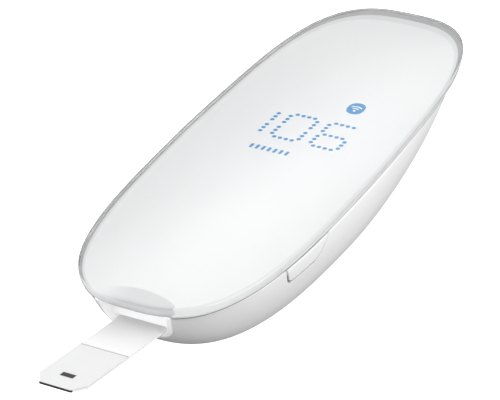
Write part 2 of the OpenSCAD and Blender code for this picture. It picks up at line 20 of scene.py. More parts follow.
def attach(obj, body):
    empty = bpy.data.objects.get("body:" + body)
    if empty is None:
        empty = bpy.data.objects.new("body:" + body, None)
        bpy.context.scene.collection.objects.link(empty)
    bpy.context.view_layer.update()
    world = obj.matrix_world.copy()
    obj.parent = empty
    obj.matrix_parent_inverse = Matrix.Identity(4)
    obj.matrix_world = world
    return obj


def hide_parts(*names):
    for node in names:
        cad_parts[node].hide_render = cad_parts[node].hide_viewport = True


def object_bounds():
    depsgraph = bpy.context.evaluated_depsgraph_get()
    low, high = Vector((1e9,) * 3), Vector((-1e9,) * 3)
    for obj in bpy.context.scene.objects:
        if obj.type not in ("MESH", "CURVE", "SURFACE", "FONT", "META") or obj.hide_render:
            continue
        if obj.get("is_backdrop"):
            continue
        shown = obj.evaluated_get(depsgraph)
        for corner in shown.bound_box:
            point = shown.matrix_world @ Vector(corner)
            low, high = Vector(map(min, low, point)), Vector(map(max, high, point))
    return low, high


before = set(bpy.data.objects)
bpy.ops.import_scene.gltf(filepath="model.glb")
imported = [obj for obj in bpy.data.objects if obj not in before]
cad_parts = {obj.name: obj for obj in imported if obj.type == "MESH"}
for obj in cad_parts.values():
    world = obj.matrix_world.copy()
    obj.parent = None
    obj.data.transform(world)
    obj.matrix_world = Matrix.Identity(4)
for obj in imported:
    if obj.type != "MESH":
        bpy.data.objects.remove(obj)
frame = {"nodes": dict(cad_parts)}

log = logging.getLogger("meter")
MM = 0.001
Pair = tuple[float, float]
Point = tuple[float, float, float]
Outline = list[Pair]
Piece = bpy.types.Object
Tree = bpy.types.NodeTree
Socket = bpy.types.NodeSocket


class Body(str, Enum):
    """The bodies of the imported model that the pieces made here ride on."""

    CASING = "casing"
    KEY = "key"
    EJECTOR = "ejector"


# ---- Small tools ----


def linear(code: str) -> tuple[float, float, float, float]:
    """Turns an sRGB hex colour into linear light.

    Args:
        code: colour as "#rrggbb".

    Returns:
        Linear red, green and blue, and an alpha of 1.
    """
    parts = [int(code[i : i + 2], 16) / 255 for i in (1, 3, 5)]
    r, g, b = [c / 12.92 if c <= 0.04045 else ((c + 0.055) / 1.055) ** 2.4 for c in parts]
    return r, g, b, 1.0


def per_mm(size: float) -> float:
    """Returns the texture scale whose features are this many millimetres wide."""
    return 1 / (size * MM)


def mix(a: float, b: float, t: float) -> float:
    """Returns the value a part t of the way from a to b."""
    return a + (b - a) * t


def deselect() -> None:
    """Leaves nothing selected, and object mode on."""
    if bpy.context.object is not None and bpy.context.object.mode != "OBJECT":
        bpy.ops.object.mode_set(mode="OBJECT")
    bpy.ops.object.select_all(action="DESELECT")


def pick(*objects: Piece) -> None:
    """Selects only these objects, and makes the first one active.

    Args:
        objects: what to select, the active one first.
    """
    deselect()
    for obj in objects:
        obj.select_set(True)
    bpy.context.view_layer.objects.active = objects[0]


@contextmanager
def editing(obj: Piece) -> Iterator[None]:
    """Opens an object in edit mode with all of it selected, and goes back to object mode at the end.

    Args:
        obj: the object to edit.

    Yields:
        Nothing; the with block runs in edit mode.
    """
    pick(obj)
    bpy.ops.object.mode_set(mode="EDIT")
    bpy.ops.mesh.select_all(action="SELECT")
    yield
    bpy.ops.object.mode_set(mode="OBJECT")


def face_outwards() -> None:
    """Selects, in edit mode, the whole mesh and points its faces outwards."""
    bpy.ops.mesh.select_all(action="SELECT")
    bpy.ops.mesh.normals_make_consistent(inside=False)


def select_open_edges() -> None:
    """Selects, in edit mode, only the edges that lie at a mesh's open border."""
    bpy.ops.mesh.select_mode(type="EDGE")
    bpy.ops.mesh.select_all(action="DESELECT")
    bpy.ops.mesh.select_non_manifold()


def placed(name: str, data: bpy.types.ID) -> Piece:
    """Adds a new object for a mesh, a camera or a light to the scene.

    Args:
        name: name of the object.
        data: its mesh, camera or light.

    Returns:
        The new object, at the origin.
    """
    obj = bpy.data.objects.new(name, data)
    bpy.context.scene.collection.objects.link(obj)
    return obj


def grid(name: str, columns: int, rows: int, place: Callable[[float, float], Point]) -> Piece:
    """Shapes a grid primitive into a curved sheet.

    Args:
        name: name of the new object.
        columns: faces along the first direction.
        rows: faces along the second direction.
        place: gives a point in mm for both directions, each from 0 to 1.

    Returns:
        The new object, at the origin.
    """
    deselect()
    bpy.ops.mesh.primitive_grid_add(x_subdivisions=columns, y_subdivisions=rows, size=2)
    obj = bpy.context.object
    obj.name = obj.data.name = name
    for v in obj.data.vertices:
        v.co = Vector(place((v.co.x + 1) / 2, (v.co.y + 1) / 2)) * MM
    return obj


def nearest(points: Sequence[Point]) -> KDTree:
    """Returns a tree that finds which of these points, in mm, is nearest to a place.

    Args:
        points: the places in mm.

    Returns:
        A search tree that numbers them in their order.
    """
    tree = KDTree(len(points))
    for k, point in enumerate(points):
        tree.insert(Vector(point) * MM, k)
    tree.balance()
    return tree


def ringed(name: str, rings: Sequence[Sequence[Point]]) -> Piece:
    """Extrudes a filled circle through a row of rings into a closed solid.

    Args:
        name: name of the new object.
        rings: the rings' points in mm, each with as many points as the first.

    Returns:
        The new object, closed at both ends.
    """
    deselect()
    bpy.ops.mesh.primitive_circle_add(vertices=len(rings[0]), radius=1, fill_type="NGON")
    obj = bpy.context.object
    obj.name = obj.data.name = name
    for v, p in zip(obj.data.vertices, rings[0]):
        v.co = Vector(p) * MM
    with editing(obj):
        for before, after in zip(rings, rings[1:]):
            bpy.ops.mesh.extrude_region_move()
            mesh = bmesh.from_edit_mesh(obj.data)
            near = nearest(before)
            for v in mesh.verts:
                if v.select:
                    v.co = Vector(after[near.find(v.co)[1]]) * MM
            bmesh.update_edit_mesh(obj.data)
        face_outwards()
    return obj


def prism(name: str, outline: Outline, ends: Pair,
          turn: Callable[[float, float, float], Point]) -> Piece:
    """Makes a straight bar from an outline.

    Args:
        name: name of the new object.
        outline: corners in the bar's own plane.
        ends: where the bar starts and ends along its length.
        turn: puts an outline point and a place along the bar into the frame.

    Returns:
        The new object.
    """
    return ringed(name, [[turn(p, q, d) for p, q in outline] for d in ends])


def along_x(p: float, q: float, d: float) -> Point:
    """Puts an outline of y and z across a bar along X."""
    return d, p, q


def along_y(p: float, q: float, d: float) -> Point:
    """Puts an outline of x and z across a bar along Y."""
    return p, d, q


def along_z(p: float, q: float, d: float) -> Point:
    """Puts an outline of x and y across a bar along Z."""
    return p, q, d


def on_circle(centre: Pair, radius: float, degrees: float) -> Pair:
    """Returns the point of a circle at a turn in degrees."""
    a = math.radians(degrees)
    return centre[0] + radius * math.cos(a), centre[1] + radius * math.sin(a)


def circle(centre: Pair, radius: float, sides: int = 48) -> Outline:
    """Returns the corners of a round outline."""
    return [on_circle(centre, radius, 360 * k / sides) for k in range(sides)]


def over_edge(radius: float, depth: float) -> float:
    """Returns how far a face sinks at a depth under a rounded edge, from the radius at 0 to nothing."""
    return radius - math.sqrt(radius**2 - max(0.0, radius - depth) ** 2)


def crowded(part: float) -> float:
    """Returns a part of a way, with the parts crowded towards both ends."""
    return (1 - math.cos(math.pi * part)) / 2


def rounded(x0: float, x1: float, y0: float, y1: float, r: float, steps: int = 6) -> Outline:
    """Returns the outline of a rectangle with round corners."""
    corners = [(x1 - r, y1 - r, 0), (x0 + r, y1 - r, 90), (x0 + r, y0 + r, 180), (x1 - r, y0 + r, 270)]
    return [on_circle((x, y), r, start + 90 * k / steps) for x, y, start in corners for k in range(steps + 1)]


def block(name: str, low: Point, high: Point, radius: float = 0.12) -> Piece:
    """Makes a block with softened edges, as moulded.

    Args:
        name: name of the new object.
        low: its lowest corner in mm.
        high: its highest corner in mm.
        radius: radius of its edges.

    Returns:
        The new object.
    """
    obj = prism(name, rounded(low[0], high[0], low[1], high[1], radius, 3), (low[2], high[2]), along_z)
    soften(obj, radius * 0.6, segments=2, angle=60)
    return obj


def modify(obj: Piece, kind: str, **settings: Any) -> None:
    """Adds one modifier with its settings and applies it.

    Args:
        obj: the object.
        kind: Blender's name for the modifier.
        settings: values by the modifier's own fields.
    """
    pick(obj)
    made = obj.modifiers.new(kind.lower(), kind)
    for key, value in settings.items():
        setattr(made, key, value)
    bpy.ops.object.modifier_apply(modifier=made.name)


def soften(obj: Piece, width: float, segments: int, angle: float) -> None:
    """Rounds every edge that turns by more than an angle."""
    modify(obj, "BEVEL", width=width * MM, segments=segments, limit_method="ANGLE",
           angle_limit=math.radians(angle), use_clamp_overlap=True)


def cut(obj: Piece, tool: Piece, operation: str = "DIFFERENCE") -> None:
    """Cuts one solid by another, which is then removed."""
    modify(obj, "BOOLEAN", operation=operation, solver="EXACT", object=tool)
    bpy.data.objects.remove(tool, do_unlink=True)


def join(first: Piece, *others: Piece) -> Piece:
    """Joins objects into the first one.

    Args:
        first: the object that stays.
        others: the objects that go into it.

    Returns:
        The first object.
    """
    pick(first, *others)
    bpy.ops.object.join()
    return first


def tidy_mesh(obj: Piece, gap: float = 0.0004, recalculate: bool = True) -> None:
    """Merges points that are less than a gap in mm apart, and points the faces outwards.

    Args:
        obj: the object.
        gap: points nearer than this are merged.
        recalculate: whether the faces are turned outwards.
    """
    with editing(obj):
        bpy.ops.mesh.remove_doubles(threshold=gap * MM)
        if recalculate:
            face_outwards()


def finish_piece(obj: Piece, body: Body, material: bpy.types.Material,
                 replaces: Iterable[str] = (), angle: float = 32) -> None:
    """Shades a piece, dresses it and ties it to its body.

    Args:
        obj: the piece, in place.
        body: the body that it moves with.
        material: its finish.
        replaces: CAD nodes that it stands for.
        angle: edges that turn less than this are shaded smooth.
    """
    pick(obj)
    bpy.ops.object.shade_smooth_by_angle(angle=math.radians(angle))
    obj.data.materials.clear()
    obj.data.materials.append(material)
    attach(obj, body.value)
    nodes = list(replaces)
    if nodes:
        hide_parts(*nodes)
    log.info("piece %s on %s, %d faces", obj.name, body.value, len(obj.data.polygons))


def bare_tree(owner: bpy.types.Material | bpy.types.World) -> Tree:
    """Turns on the nodes of a material or a world, and empties its tree.

    Args:
        owner: the material or world.

    Returns:
        Its tree, with no node in it.
    """
    owner.use_nodes = True
    owner.node_tree.nodes.clear()
    return owner.node_tree


def add_node(tree: Tree, kind: str, settings: dict[Any, Any] | None = None,
             links: dict[Any, Socket] | None = None) -> bpy.types.Node:
    """Adds one node with its settings and links.

    Args:
        tree: the material's or world's tree.
        kind: Blender's name for the node, after its first word ShaderNode.
        settings: values by input name or number, or by the node's own field.
        links: sources by input name or number.

    Returns:
        The new node.
    """
    node = tree.nodes.new("ShaderNode" + kind)
    for key, value in (settings or {}).items():
        if isinstance(key, int) or key in node.inputs:
            node.inputs[key].default_value = value
        else:
            setattr(node, key, value)
    for key, source in (links or {}).items():
        tree.links.new(source, node.inputs[key])
    return node


# ---- Finishes ----


@dataclass(frozen=True)
class Finish:
    """A finish whose colour drifts a little and whose surface has a fine grain.

    The grain is a noise bump on Object coordinates; the colour moves between two close shades.
    """

    name: str
    colour: str
    shade: str
    roughness: float = 0.4
    spread: float = 0.05
    grain_mm: float = 0.3
    grain_depth: float = 0.02
    drift_mm: float = 12.0
    metallic: float = 0.0
    ior: float = 1.5
    settings: dict[str, Any] = field(default_factory=dict)

    def build(self) -> bpy.types.Material:
        """Makes the material, once.

        Returns:
            The finished material.
        """
        if self.name in bpy.data.materials:
            return bpy.data.materials[self.name]
        material = bpy.data.materials.new(self.name)
        tree = bare_tree(material)
        shader = self.shader(tree, add_node(tree, "TexCoord").outputs["Object"])
        add_node(tree, "OutputMaterial", {}, {"Surface": shader.outputs[0]})
        material.diffuse_color = linear(self.colour)
        return material

    def shader(self, tree: Tree, at: Socket) -> bpy.types.Node:
        """Adds the shader, with the colour, polish and grain that vary over the surface.

        Args:
            tree: the material's tree.
            at: Object coordinates.

        Returns:
            The shader's node.
        """
        values = {"Metallic": self.metallic, "Coat Weight": 0.0}
        if not self.metallic:
            values["IOR"] = self.ior
        return add_node(tree, "BsdfPrincipled", {**values, **self.settings},
                        {"Base Color": self.colouring(tree, at), "Roughness": self.polish(tree, at),
                         "Normal": self.relief(tree, at)})

    def colouring(self, tree: Tree, at: Socket) -> Socket:
        """Adds a colour that drifts between the finish's two shades.

        Args:
            tree: the material's tree.
            at: Object coordinates.

        Returns:
            The colour.
        """
        drift = add_node(tree, "TexNoise", {"Scale": per_mm(self.drift_mm), "Detail": 3.0}, {"Vector": at})
        shades = {6: linear(self.shade), 7: linear(self.colour)}
        blend = add_node(tree, "Mix", {"data_type": "RGBA", **shades}, {0: drift.outputs["Fac"]})
        return blend.outputs[2]

    def polish(self, tree: Tree, at: Socket) -> Socket:
        """Adds a roughness that varies a little over the surface.

        Args:
            tree: the material's tree.
            at: Object coordinates.

        Returns:
            The roughness.
        """
        worn = add_node(tree, "TexNoise", {"Scale": per_mm(self.drift_mm / 3), "Detail": 4.0}, {"Vector": at})
        ends = {"To Min": self.roughness - self.spread / 2, "To Max": self.roughness + self.spread / 2}
        return add_node(tree, "MapRange", ends, {"Value": worn.outputs["Fac"]}).outputs[0]

    def relief(self, tree: Tree, at: Socket) -> Socket:
        """Adds the surface's fine grain.

        Args:
            tree: the material's tree.
            at: Object coordinates.

        Returns:
            The normals.
        """
        grain = add_node(tree, "TexNoise", {"Scale": per_mm(self.grain_mm), "Detail": 2.0}, {"Vector": at})
        bump = add_node(tree, "Bump", {"Strength": 1.0, "Distance": self.grain_depth * MM},
                        {"Height": grain.outputs["Fac"]})
        return bump.outputs[0]


@dataclass(frozen=True)
class ClearAcrylic(Finish):
    """Cast acrylic, polished: clear, with a sharp gloss and a very slight waviness."""

    def shader(self, tree: Tree, at: Socket) -> bpy.types.Node:
        """Adds a clear shader with even colour and polish.

        Args:
            tree: the material's tree.
            at: Object coordinates.

        Returns:
            The shader's node.
        """
        return add_node(tree, "BsdfPrincipled",
                        {"Base Color": linear(self.colour), "Roughness": self.roughness, "IOR": self.ior,
                         "Transmission Weight": 1.0}, {"Normal": self.relief(tree, at)})


@dataclass(frozen=True)
class InkWithPaintedShade(Finish):
    """White ink on film, with painted shade: grey along its border, and a grey patch over the port's recess.

    The border's own scale runs from 0 at the film's edge to 1 where its darkest part ends. The painted patch
    is a part of a ball, in mm, which fades out to the left.
    """

    border: str = "#b3b3b4"
    painted_border_end: Pair = (0.9, 1.08)
    inner: str = "#e6e6e7"
    painted_inner_end: Pair = (1.9, 2.2)
    recess_shade_colours: tuple[str, str] = ("#c0c0c1", "#d9d9da")
    hollow_depth_cm: Pair = (0.05, 0.22)
    hollow_at: Point = (0.0, -55.6, 16.35)
    hollow_r: Pair = (12.35, 12.1)
    hollow_half: Pair = (6.4, 6.2)
    hollow_fade: Pair = (-7.0, -0.5)

    def colouring(self, tree: Tree, at: Socket) -> Socket:
        """Adds white with the painted grey border shade and the painted grey patch over the port's recess.

        Args:
            tree: the material's tree.
            at: Object coordinates.

        Returns:
            The colour.
        """
        border = add_node(tree, "UVMap", {"uv_map": "border"})
        across, depth = add_node(tree, "SeparateXYZ", {}, {0: border.outputs[0]}).outputs[:2]
        x = add_node(tree, "SeparateXYZ", {}, {0: at}).outputs[0]
        wide = add_node(tree, "Math", {"operation": "ABSOLUTE"}, {0: x}).outputs[0]
        centre = tuple(c * MM for c in self.hollow_at)
        far = add_node(tree, "VectorMath", {"operation": "DISTANCE", 1: centre}, {0: at})
        steps = ((across, self.painted_inner_end, 1), (across, self.painted_border_end, 1), (depth, self.hollow_depth_cm, 1),
                 (far.outputs["Value"], self.hollow_r, MM), (wide, self.hollow_half, MM),
                 (x, self.hollow_fade, MM))
        painted_inner_mask, painted_border_mask, depth_mask, *patch = [
            add_node(tree, "MapRange",
                     {"interpolation_type": "SMOOTHSTEP", "From Min": start * unit, "From Max": end * unit},
                     {"Value": value}).outputs[0] for value, (start, end), unit in steps]
        colour = super().colouring(tree, at)
        # Painted shade: dark grey at the film's edge, a lighter grey band inside it, white beyond
        for mask, code in ((painted_inner_mask, self.inner), (painted_border_mask, self.border)):
            colour = add_node(tree, "Mix", {"data_type": "RGBA", 6: linear(code)},
                              {0: mask, 7: colour}).outputs[2]
        # Painted shade: a grey patch over the port's recess, darker towards the cover's edge and fading out
        # to the left
        inside = patch[0]
        for mask in patch[1:]:
            inside = add_node(tree, "Math", {"operation": "MULTIPLY"}, {0: inside, 1: mask}).outputs[0]
        near, deep = map(linear, self.recess_shade_colours)
        grey = add_node(tree, "Mix", {"data_type": "RGBA", 6: near, 7: deep}, {0: depth_mask})
        return add_node(tree, "Mix", {"data_type": "RGBA"},
                        {0: inside, 6: colour, 7: grey.outputs[2]}).outputs[2]


@dataclass(frozen=True)
class AbsWithPaintedSeamShade(Finish):
    """Moulded resin with painted shade: grey along its lower edge, where the seam's shadow falls."""

    # Colour of the painted seam shade, and the heights over which it fades out
    seam: str = "#565658"
    seam_z: Pair = (16.06, 16.1)

    def colouring(self, tree: Tree, at: Socket) -> Socket:
        """Adds the resin's colour, with painted shade: grey under the seam's level.

        Args:
            tree: the material's tree.
            at: Object coordinates.

        Returns:
            The colour.
        """
        unshaded = super().colouring(tree, at)
        z = add_node(tree, "SeparateXYZ", {}, {0: at}).outputs[2]
        low, high = self.seam_z
        above = add_node(tree, "MapRange", {"From Min": low * MM, "From Max": high * MM}, {"Value": z})
        # Painted shade: grey below the seam's level, fading to the resin's colour above it
        return add_node(tree, "Mix", {"data_type": "RGBA", 6: linear(self.seam)},
                        {0: above.outputs[0], 7: unshaded}).outputs[2]


@dataclass(frozen=True)
class LitDot(Finish):
    """A light behind ink, bonded to the cover: an even colour that glows a little, without a gloss."""

    glow: float = 1.0

    def shader(self, tree: Tree, at: Socket) -> bpy.types.Node:
        """Adds a shader that glows in its own colour.

        Args:
            tree: the material's tree.
            at: Object coordinates.

        Returns:
            The shader's node.
        """
        colour = self.colouring(tree, at)
        return add_node(tree, "BsdfPrincipled",
                        {"Roughness": self.roughness, "IOR": self.ior, "Emission Strength": self.glow},
                        {"Base Color": colour, "Emission Color": colour})


# Cast acrylic: colourless, glossy
CLEAR_ACRYLIC = ClearAcrylic("cast_acrylic_polished", "#fdfefe", "#fdfefe", roughness=0.0, ior=1.49,
                             grain_mm=9, grain_depth=0.0006)
# White ink screen-printed on the underside of the cover: flat, even white
PRINTED_WHITE = Finish("screen_ink_white", "#f4f4f4", "#f1f1f2", roughness=0.55, grain_mm=0.2,
                       grain_depth=0.002, drift_mm=20)
# The same ink on the film's own piece, with painted shade: a grey border and a grey patch over the port's
# recess
INK_FILM_PAINTED_SHADE = InkWithPaintedShade("screen_ink_white_painted_shade", "#f4f4f4", "#f1f1f2", roughness=0.55, grain_mm=0.2,
                     grain_depth=0.002, drift_mm=20)
# Moulded ABS with a fine spark-eroded texture: satin, hardly any grain to see
SATIN_ABS = Finish("moulded_abs_satin", "#f0f0f0", "#ececed", roughness=0.38, spread=0.06, grain_mm=0.35,
                   grain_depth=0.004, drift_mm=18)
# Moulded ABS from a polished tool: glossy, slight flow marks
GLOSS_ABS = Finish("moulded_abs_polished", "#f6f6f6", "#f3f3f4", roughness=0.16, grain_mm=2.5,
                   grain_depth=0.003, drift_mm=9)
# The same resin in the port, with a faint painted white glow that brightens it, though it is no lamp
PORT_ABS_PAINTED_GLOW = Finish("moulded_abs_painted_glow", "#f8f8f8", "#f5f5f6", roughness=0.2, grain_mm=2.5, grain_depth=0.003,
                  drift_mm=9, settings={"Emission Color": (1, 1, 1, 1), "Emission Strength": 0.2})
# Inside mouldings: matt white ABS with a visible sprayed texture
MATT_ABS = Finish("moulded_abs_matt", "#ececec", "#e6e6e7", roughness=0.6, grain_mm=0.4, grain_depth=0.01)
# The tray's resin: the same matt white, with a painted grey shade where its edge lies in the seam over the
# casing
TRAY_ABS_SEAM_SHADE = AbsWithPaintedSeamShade("moulded_abs_tray_painted_seam_shade", "#f2f2f2", "#ededee", roughness=0.5, grain_mm=0.4,
                     grain_depth=0.006)
# Blue light through the ink: an even blue that glows a little
BLUE_LIGHT = LitDot("blue_light_through_ink", "#137aae", "#1177ac", roughness=0.5, ior=1.02, drift_mm=3,
                    glow=0.4)
# Clear gap in the blue: flat, bright white
WHITE_MARK = Finish("ink_window_white", "#ffffff", "#f6fbff", roughness=0.5, grain_depth=0.002)
# Extruded polyester sheet: white, with a soft sheen
STRIP_SHEET = Finish("polyester_sheet_white", "#eaeaea", "#e7e7e8", roughness=0.42, grain_mm=0.5,
                     grain_depth=0.003, drift_mm=6)
# Coated polyester film: milky, shinier than the sheet
STRIP_FILM = Finish("hydrophilic_film_milky", "#dedede", "#dadadb", roughness=0.3, grain_mm=0.6,
                    grain_depth=0.003, drift_mm=5)
# Adhesive film, seen at its edges: mid grey
STRIP_GLUE = Finish("adhesive_film_grey", "#b0b0b0", "#a6a6a7", grain_mm=0.4, grain_depth=0.003)
# Screen-printed carbon ink: nearly black, dull
CARBON_INK = Finish("carbon_ink_printed", "#2b2b2c", "#38383a", roughness=0.65, grain_mm=0.12,
                    grain_depth=0.006, drift_mm=0.8)
# Solder mask over glass epoxy: dark green, glossy, with the cloth under it as a faint relief
SOLDER_MASK = Finish("solder_mask_green", "#0f4a2b", "#0b3a22", roughness=0.3, grain_mm=0.9, drift_mm=2.2)
# Moulded epoxy: black, with a fine dull texture
EPOXY_BLACK = Finish("moulded_epoxy_black", "#1c1c1d", "#262627", roughness=0.55, grain_mm=0.15,
                     grain_depth=0.01)
# Tin-plated steel: pale metal with a soft shine
TIN_PLATE = Finish("tin_plated_steel", "#c9cacc", "#b6b7ba", roughness=0.28, spread=0.15, grain_mm=0.5,
                   grain_depth=0.004, drift_mm=2, metallic=1)
# Zinc-plated steel: slightly bluish and duller
ZINC_PLATE = Finish("zinc_plated_steel", "#bfc1c6", "#a9acb2", roughness=0.35, spread=0.15, grain_mm=0.25,
                    grain_depth=0.006, drift_mm=1, metallic=1)
# Drawn steel wire: darker grey metal
SPRING_WIRE = Finish("drawn_spring_wire", "#a7a8ab", "#8d8f93", roughness=0.3, spread=0.1, grain_mm=0.15,
                     grain_depth=0.004, drift_mm=0.8, metallic=1)
# Gold-plated bronze: warm yellow metal
GOLD_PLATE = Finish("gold_plated_bronze", "#e2b65a", "#cf9f45", roughness=0.25, spread=0.1,
                    grain_depth=0.003, drift_mm=1, metallic=1)
# Laminated foil: silver, softly crinkled
POUCH_FOIL = Finish("laminated_pouch_foil", "#c4c6c9", "#b4b6ba", roughness=0.35, spread=0.2, grain_mm=1.6,
                    grain_depth=0.05, drift_mm=5, metallic=1)
# Closed-cell foam: dull grey with open pores
FOAM_GREY = Finish("closed_cell_foam", "#56575a", "#4b4c4f", roughness=0.9, grain_mm=0.5, grain_depth=0.15,
                   drift_mm=1.2)
# Moulded nylon, undyed: ivory
NYLON_IVORY = Finish("moulded_nylon_natural", "#e6dfc9", "#ddd5bd", roughness=0.5, grain_mm=0.4,
                     grain_depth=0.008)
# Moulded acetal, undyed: milky white with a waxy sheen
ACETAL = Finish("moulded_acetal_natural", "#ededea", "#e5e5e1", roughness=0.42, grain_mm=0.5,
                grain_depth=0.005)
# Fired ceramics, unglazed: dull white, and tan
CERAMIC_WHITE = Finish("fired_ceramic_white", "#e4e3dc", "#d9d8d0", roughness=0.6, grain_mm=0.15,
                       grain_depth=0.006)
CERAMIC_TAN = Finish("fired_ceramic_tan", "#9d7a54", "#8b6a47", roughness=0.5, grain_mm=0.1,
                     grain_depth=0.004, drift_mm=0.5)
# Extruded silicone: dark red with a soft sheen
SLEEVE_RED = Finish("silicone_sleeve", "#9a1512", "#85100f", roughness=0.45, grain_depth=0.004)
# Moulded thermoplastic, dyed: mid grey, satin
GREY_RESIN = Finish("thermoplastic_grey", "#747577", "#696a6c", roughness=0.5, grain_depth=0.008)
# Clear resin over yellow phosphor: pale yellow, glossy
PHOSPHOR = Finish("led_resin_over_phosphor", "#d9c468", "#e6ddb0", roughness=0.2, grain_mm=0.2,
                  grain_depth=0.003, drift_mm=0.4)

CAD_FINISHES: tuple[tuple[Finish, str], ...] = (
    (CLEAR_ACRYLIC, "clear_cover"), (PRINTED_WHITE, "printed_film"), (TRAY_ABS_SEAM_SHADE, "upper_shell"),
    (MATT_ABS, "light_baffle"), (PHOSPHOR, "display_leds"), (SOLDER_MASK, "main_board"),
    (EPOXY_BLACK, "microcontroller measuring_chip memory_chip charger_chip usb_tongue switch_plunger"),
    (TIN_PLATE, "radio_module crystal usb_port"), (CERAMIC_WHITE, "chip_antenna"),
    (CERAMIC_TAN, "capacitors"),
    (ZINC_PLATE, "board_screws key_pin"), (POUCH_FOIL, "battery"), (FOAM_GREY, "battery_pad"),
    (SLEEVE_RED, "battery_leads"), (NYLON_IVORY, "battery_socket strip_connector"),
    (SATIN_ABS, "lower_shell power_key ejector_thumb"), (GLOSS_ABS, "port_bezel"),
    (GOLD_PLATE, "connector_contacts"), (GREY_RESIN, "key_switch"), (ACETAL, "ejector_carriage"),
    (SPRING_WIRE, "ejector_spring"), (STRIP_SHEET, "strip_base strip_mask"), (STRIP_GLUE, "strip_spacer"),
    (CARBON_INK, "strip_tracks strip_reagent strip_inlet"), (STRIP_FILM, "strip_cover"),
)


def dress_cad(nodes: dict[str, Piece]) -> None:
    """Gives every CAD node its finish.

    Args:
        nodes: the CAD nodes by name.
    """
    for finish, names in CAD_FINISHES:
        for name in names.split():
            nodes[name].data.materials.clear()
            nodes[name].data.materials.append(finish.build())
            log.info("node %s in %s", name, finish.name)


# ---- Shapes that several parts share ----


@dataclass(frozen=True)
class Plan:
    """Outline of the meter from above, and the levels of its stack."""

    half_length: float = 48.0
    half_width: float = 17.4
    flare: tuple[float, ...] = (-0.0142, 0.329, 0.0344, -0.0722)
    end_power: float = 1.732
    side_power: float = 2.964
    step: float = 0.7
    top_z: float = 18.0
    cover_rim_z: float = 17.65
    cover_z: float = 16.35
    seam_z: float = 15.89
    tray_z: float = 15.05

    def half_at(self, y: float) -> float:
        """Works out the cover's half width at a place along it.

        Args:
            y: the place, in mm from the middle.

        Returns:
            The half width in mm, 0 at the tips.
        """
        u = y / self.half_length
        a, b, c, d = self.flare
        swell = 1 + a * u + b * u**2 + c * u**3 + d * u**4
        return self.half_width * swell * max(0.0, 1 - abs(u) ** self.end_power) ** (1 / self.side_power)

    def raw(self, turn: float) -> Pair:
        """Returns the point of the outline at a turn in degrees, from the near tip round the right side."""
        y = -self.half_length * math.cos(math.radians(turn))
        return math.copysign(self.half_at(y), math.sin(math.radians(turn))), y

    def stretch(self, turn: float) -> tuple[float, float, float]:
        """Returns the run in x and in y of a short stretch of the outline round a turn, and its length."""
        (x0, y0), (x1, y1) = self.raw(turn - self.step), self.raw(turn + self.step)
        return x1 - x0, y1 - y0, math.hypot(x1 - x0, y1 - y0)

    def point(self, turn: float, inset: float) -> Pair:
        """Returns the outline's point moved inwards by an inset."""
        (x, y), (dx, dy, size) = self.raw(turn), self.stretch(turn)
        return x - inset * dy / size, y + inset * dx / size


@dataclass(frozen=True)
class Belly:
    """Outside of the lower casing under the seam."""

    plan: Plan = Plan()
    depth: float = 16.49
    deepest_y: float = -2.0
    near_fall: Pair = (2.94, 1.61)
    far_fall: Pair = (2.0, 1.8)
    section_mid: Pair = (3.1, 1.9)
    section_near: Pair = (3.5, 0.84)
    section_far: Pair = (1.78, 0.82)
    section_turn: Pair = (1.2, 2)
    rim_in: float = 0.27
    near_tuck: Pair = (1.07, 6)
    far_tuck: Pair = (1.53, 2)
    tip_half: float = 3.0
    rest_z: float = 0.25

    def fall(self, y: float) -> float:
        """Works out how far a place is from the deepest one.

        Args:
            y: the place.

        Returns:
            A part from 0 at the deepest place to 1 at either tip.
        """
        if y < self.deepest_y:
            return (self.deepest_y - y) / (self.deepest_y + self.plan.half_length)
        return (y - self.deepest_y) / (self.plan.half_length - self.deepest_y)

    def depth_at(self, y: float) -> float:
        """Returns the depth of the belly's keel under the seam."""
        p, q = self.near_fall if y < self.deepest_y else self.far_fall
        return self.depth * max(0.0, 1 - min(1.0, self.fall(y)) ** p) ** (1 / q)

    def section(self, y: float) -> Pair:
        """Works out the section's form at a place along the casing.

        Args:
            y: the place.

        Returns:
            The powers across and down.
        """
        near = y < self.deepest_y
        end = self.section_near if near else self.section_far
        t = self.fall(y) ** self.section_turn[0 if near else 1]
        return mix(self.section_mid[0], end[0], t), mix(self.section_mid[1], end[1], t)

    def rim(self, y: float) -> float:
        """Works out the casing's half width at the seam.

        Args:
            y: the place along it.

        Returns:
            The half width in mm.
        """
        tuck, power = self.near_tuck if y < self.deepest_y else self.far_tuck
        half = self.plan.half_at(y)
        return half - (self.rim_in + tuck * self.fall(y) ** power) * min(1.0, half / self.tip_half)

    def half_at(self, y: float, d: float) -> float:
        """Returns the casing's half width at a depth under the seam."""
        a, b = self.section(y)
        return self.rim(y) * max(0.0, 1 - (d / self.depth_at(y)) ** b) ** (1 / a)

    def surface(self, along: float, around: float, scale: Point = (1, 1, 1), edge: float = 0.0) -> Point:
        """Works out a point of the casing's surface.

        Args:
            along: turn in degrees from the near tip, 0, to the far tip, 180.
            around: turn in degrees from the right seam, 0, under the keel to the left seam, 180.
            scale: shrinks the surface for its inside.
            edge: radius that the surface has where it meets the seam.

        Returns:
            The point in mm.
        """
        y = -self.plan.half_length * math.cos(math.radians(along))
        a, b = self.section(y)
        c, s = math.cos(math.radians(around)), abs(math.sin(math.radians(around)))
        x = self.rim(y) * math.copysign(abs(c) ** (2 / a), c)
        d = self.depth_at(y) * s ** (2 / b)
        if d < edge and abs(x) > 2 * edge:
            x -= math.copysign(over_edge(edge, d), x)
        return scale[0] * x, scale[1] * y, max(self.rest_z, self.plan.seam_z - scale[2] * d)


PLAN = Plan()
BELLY = Belly()


# ---- Sub-assemblies ----


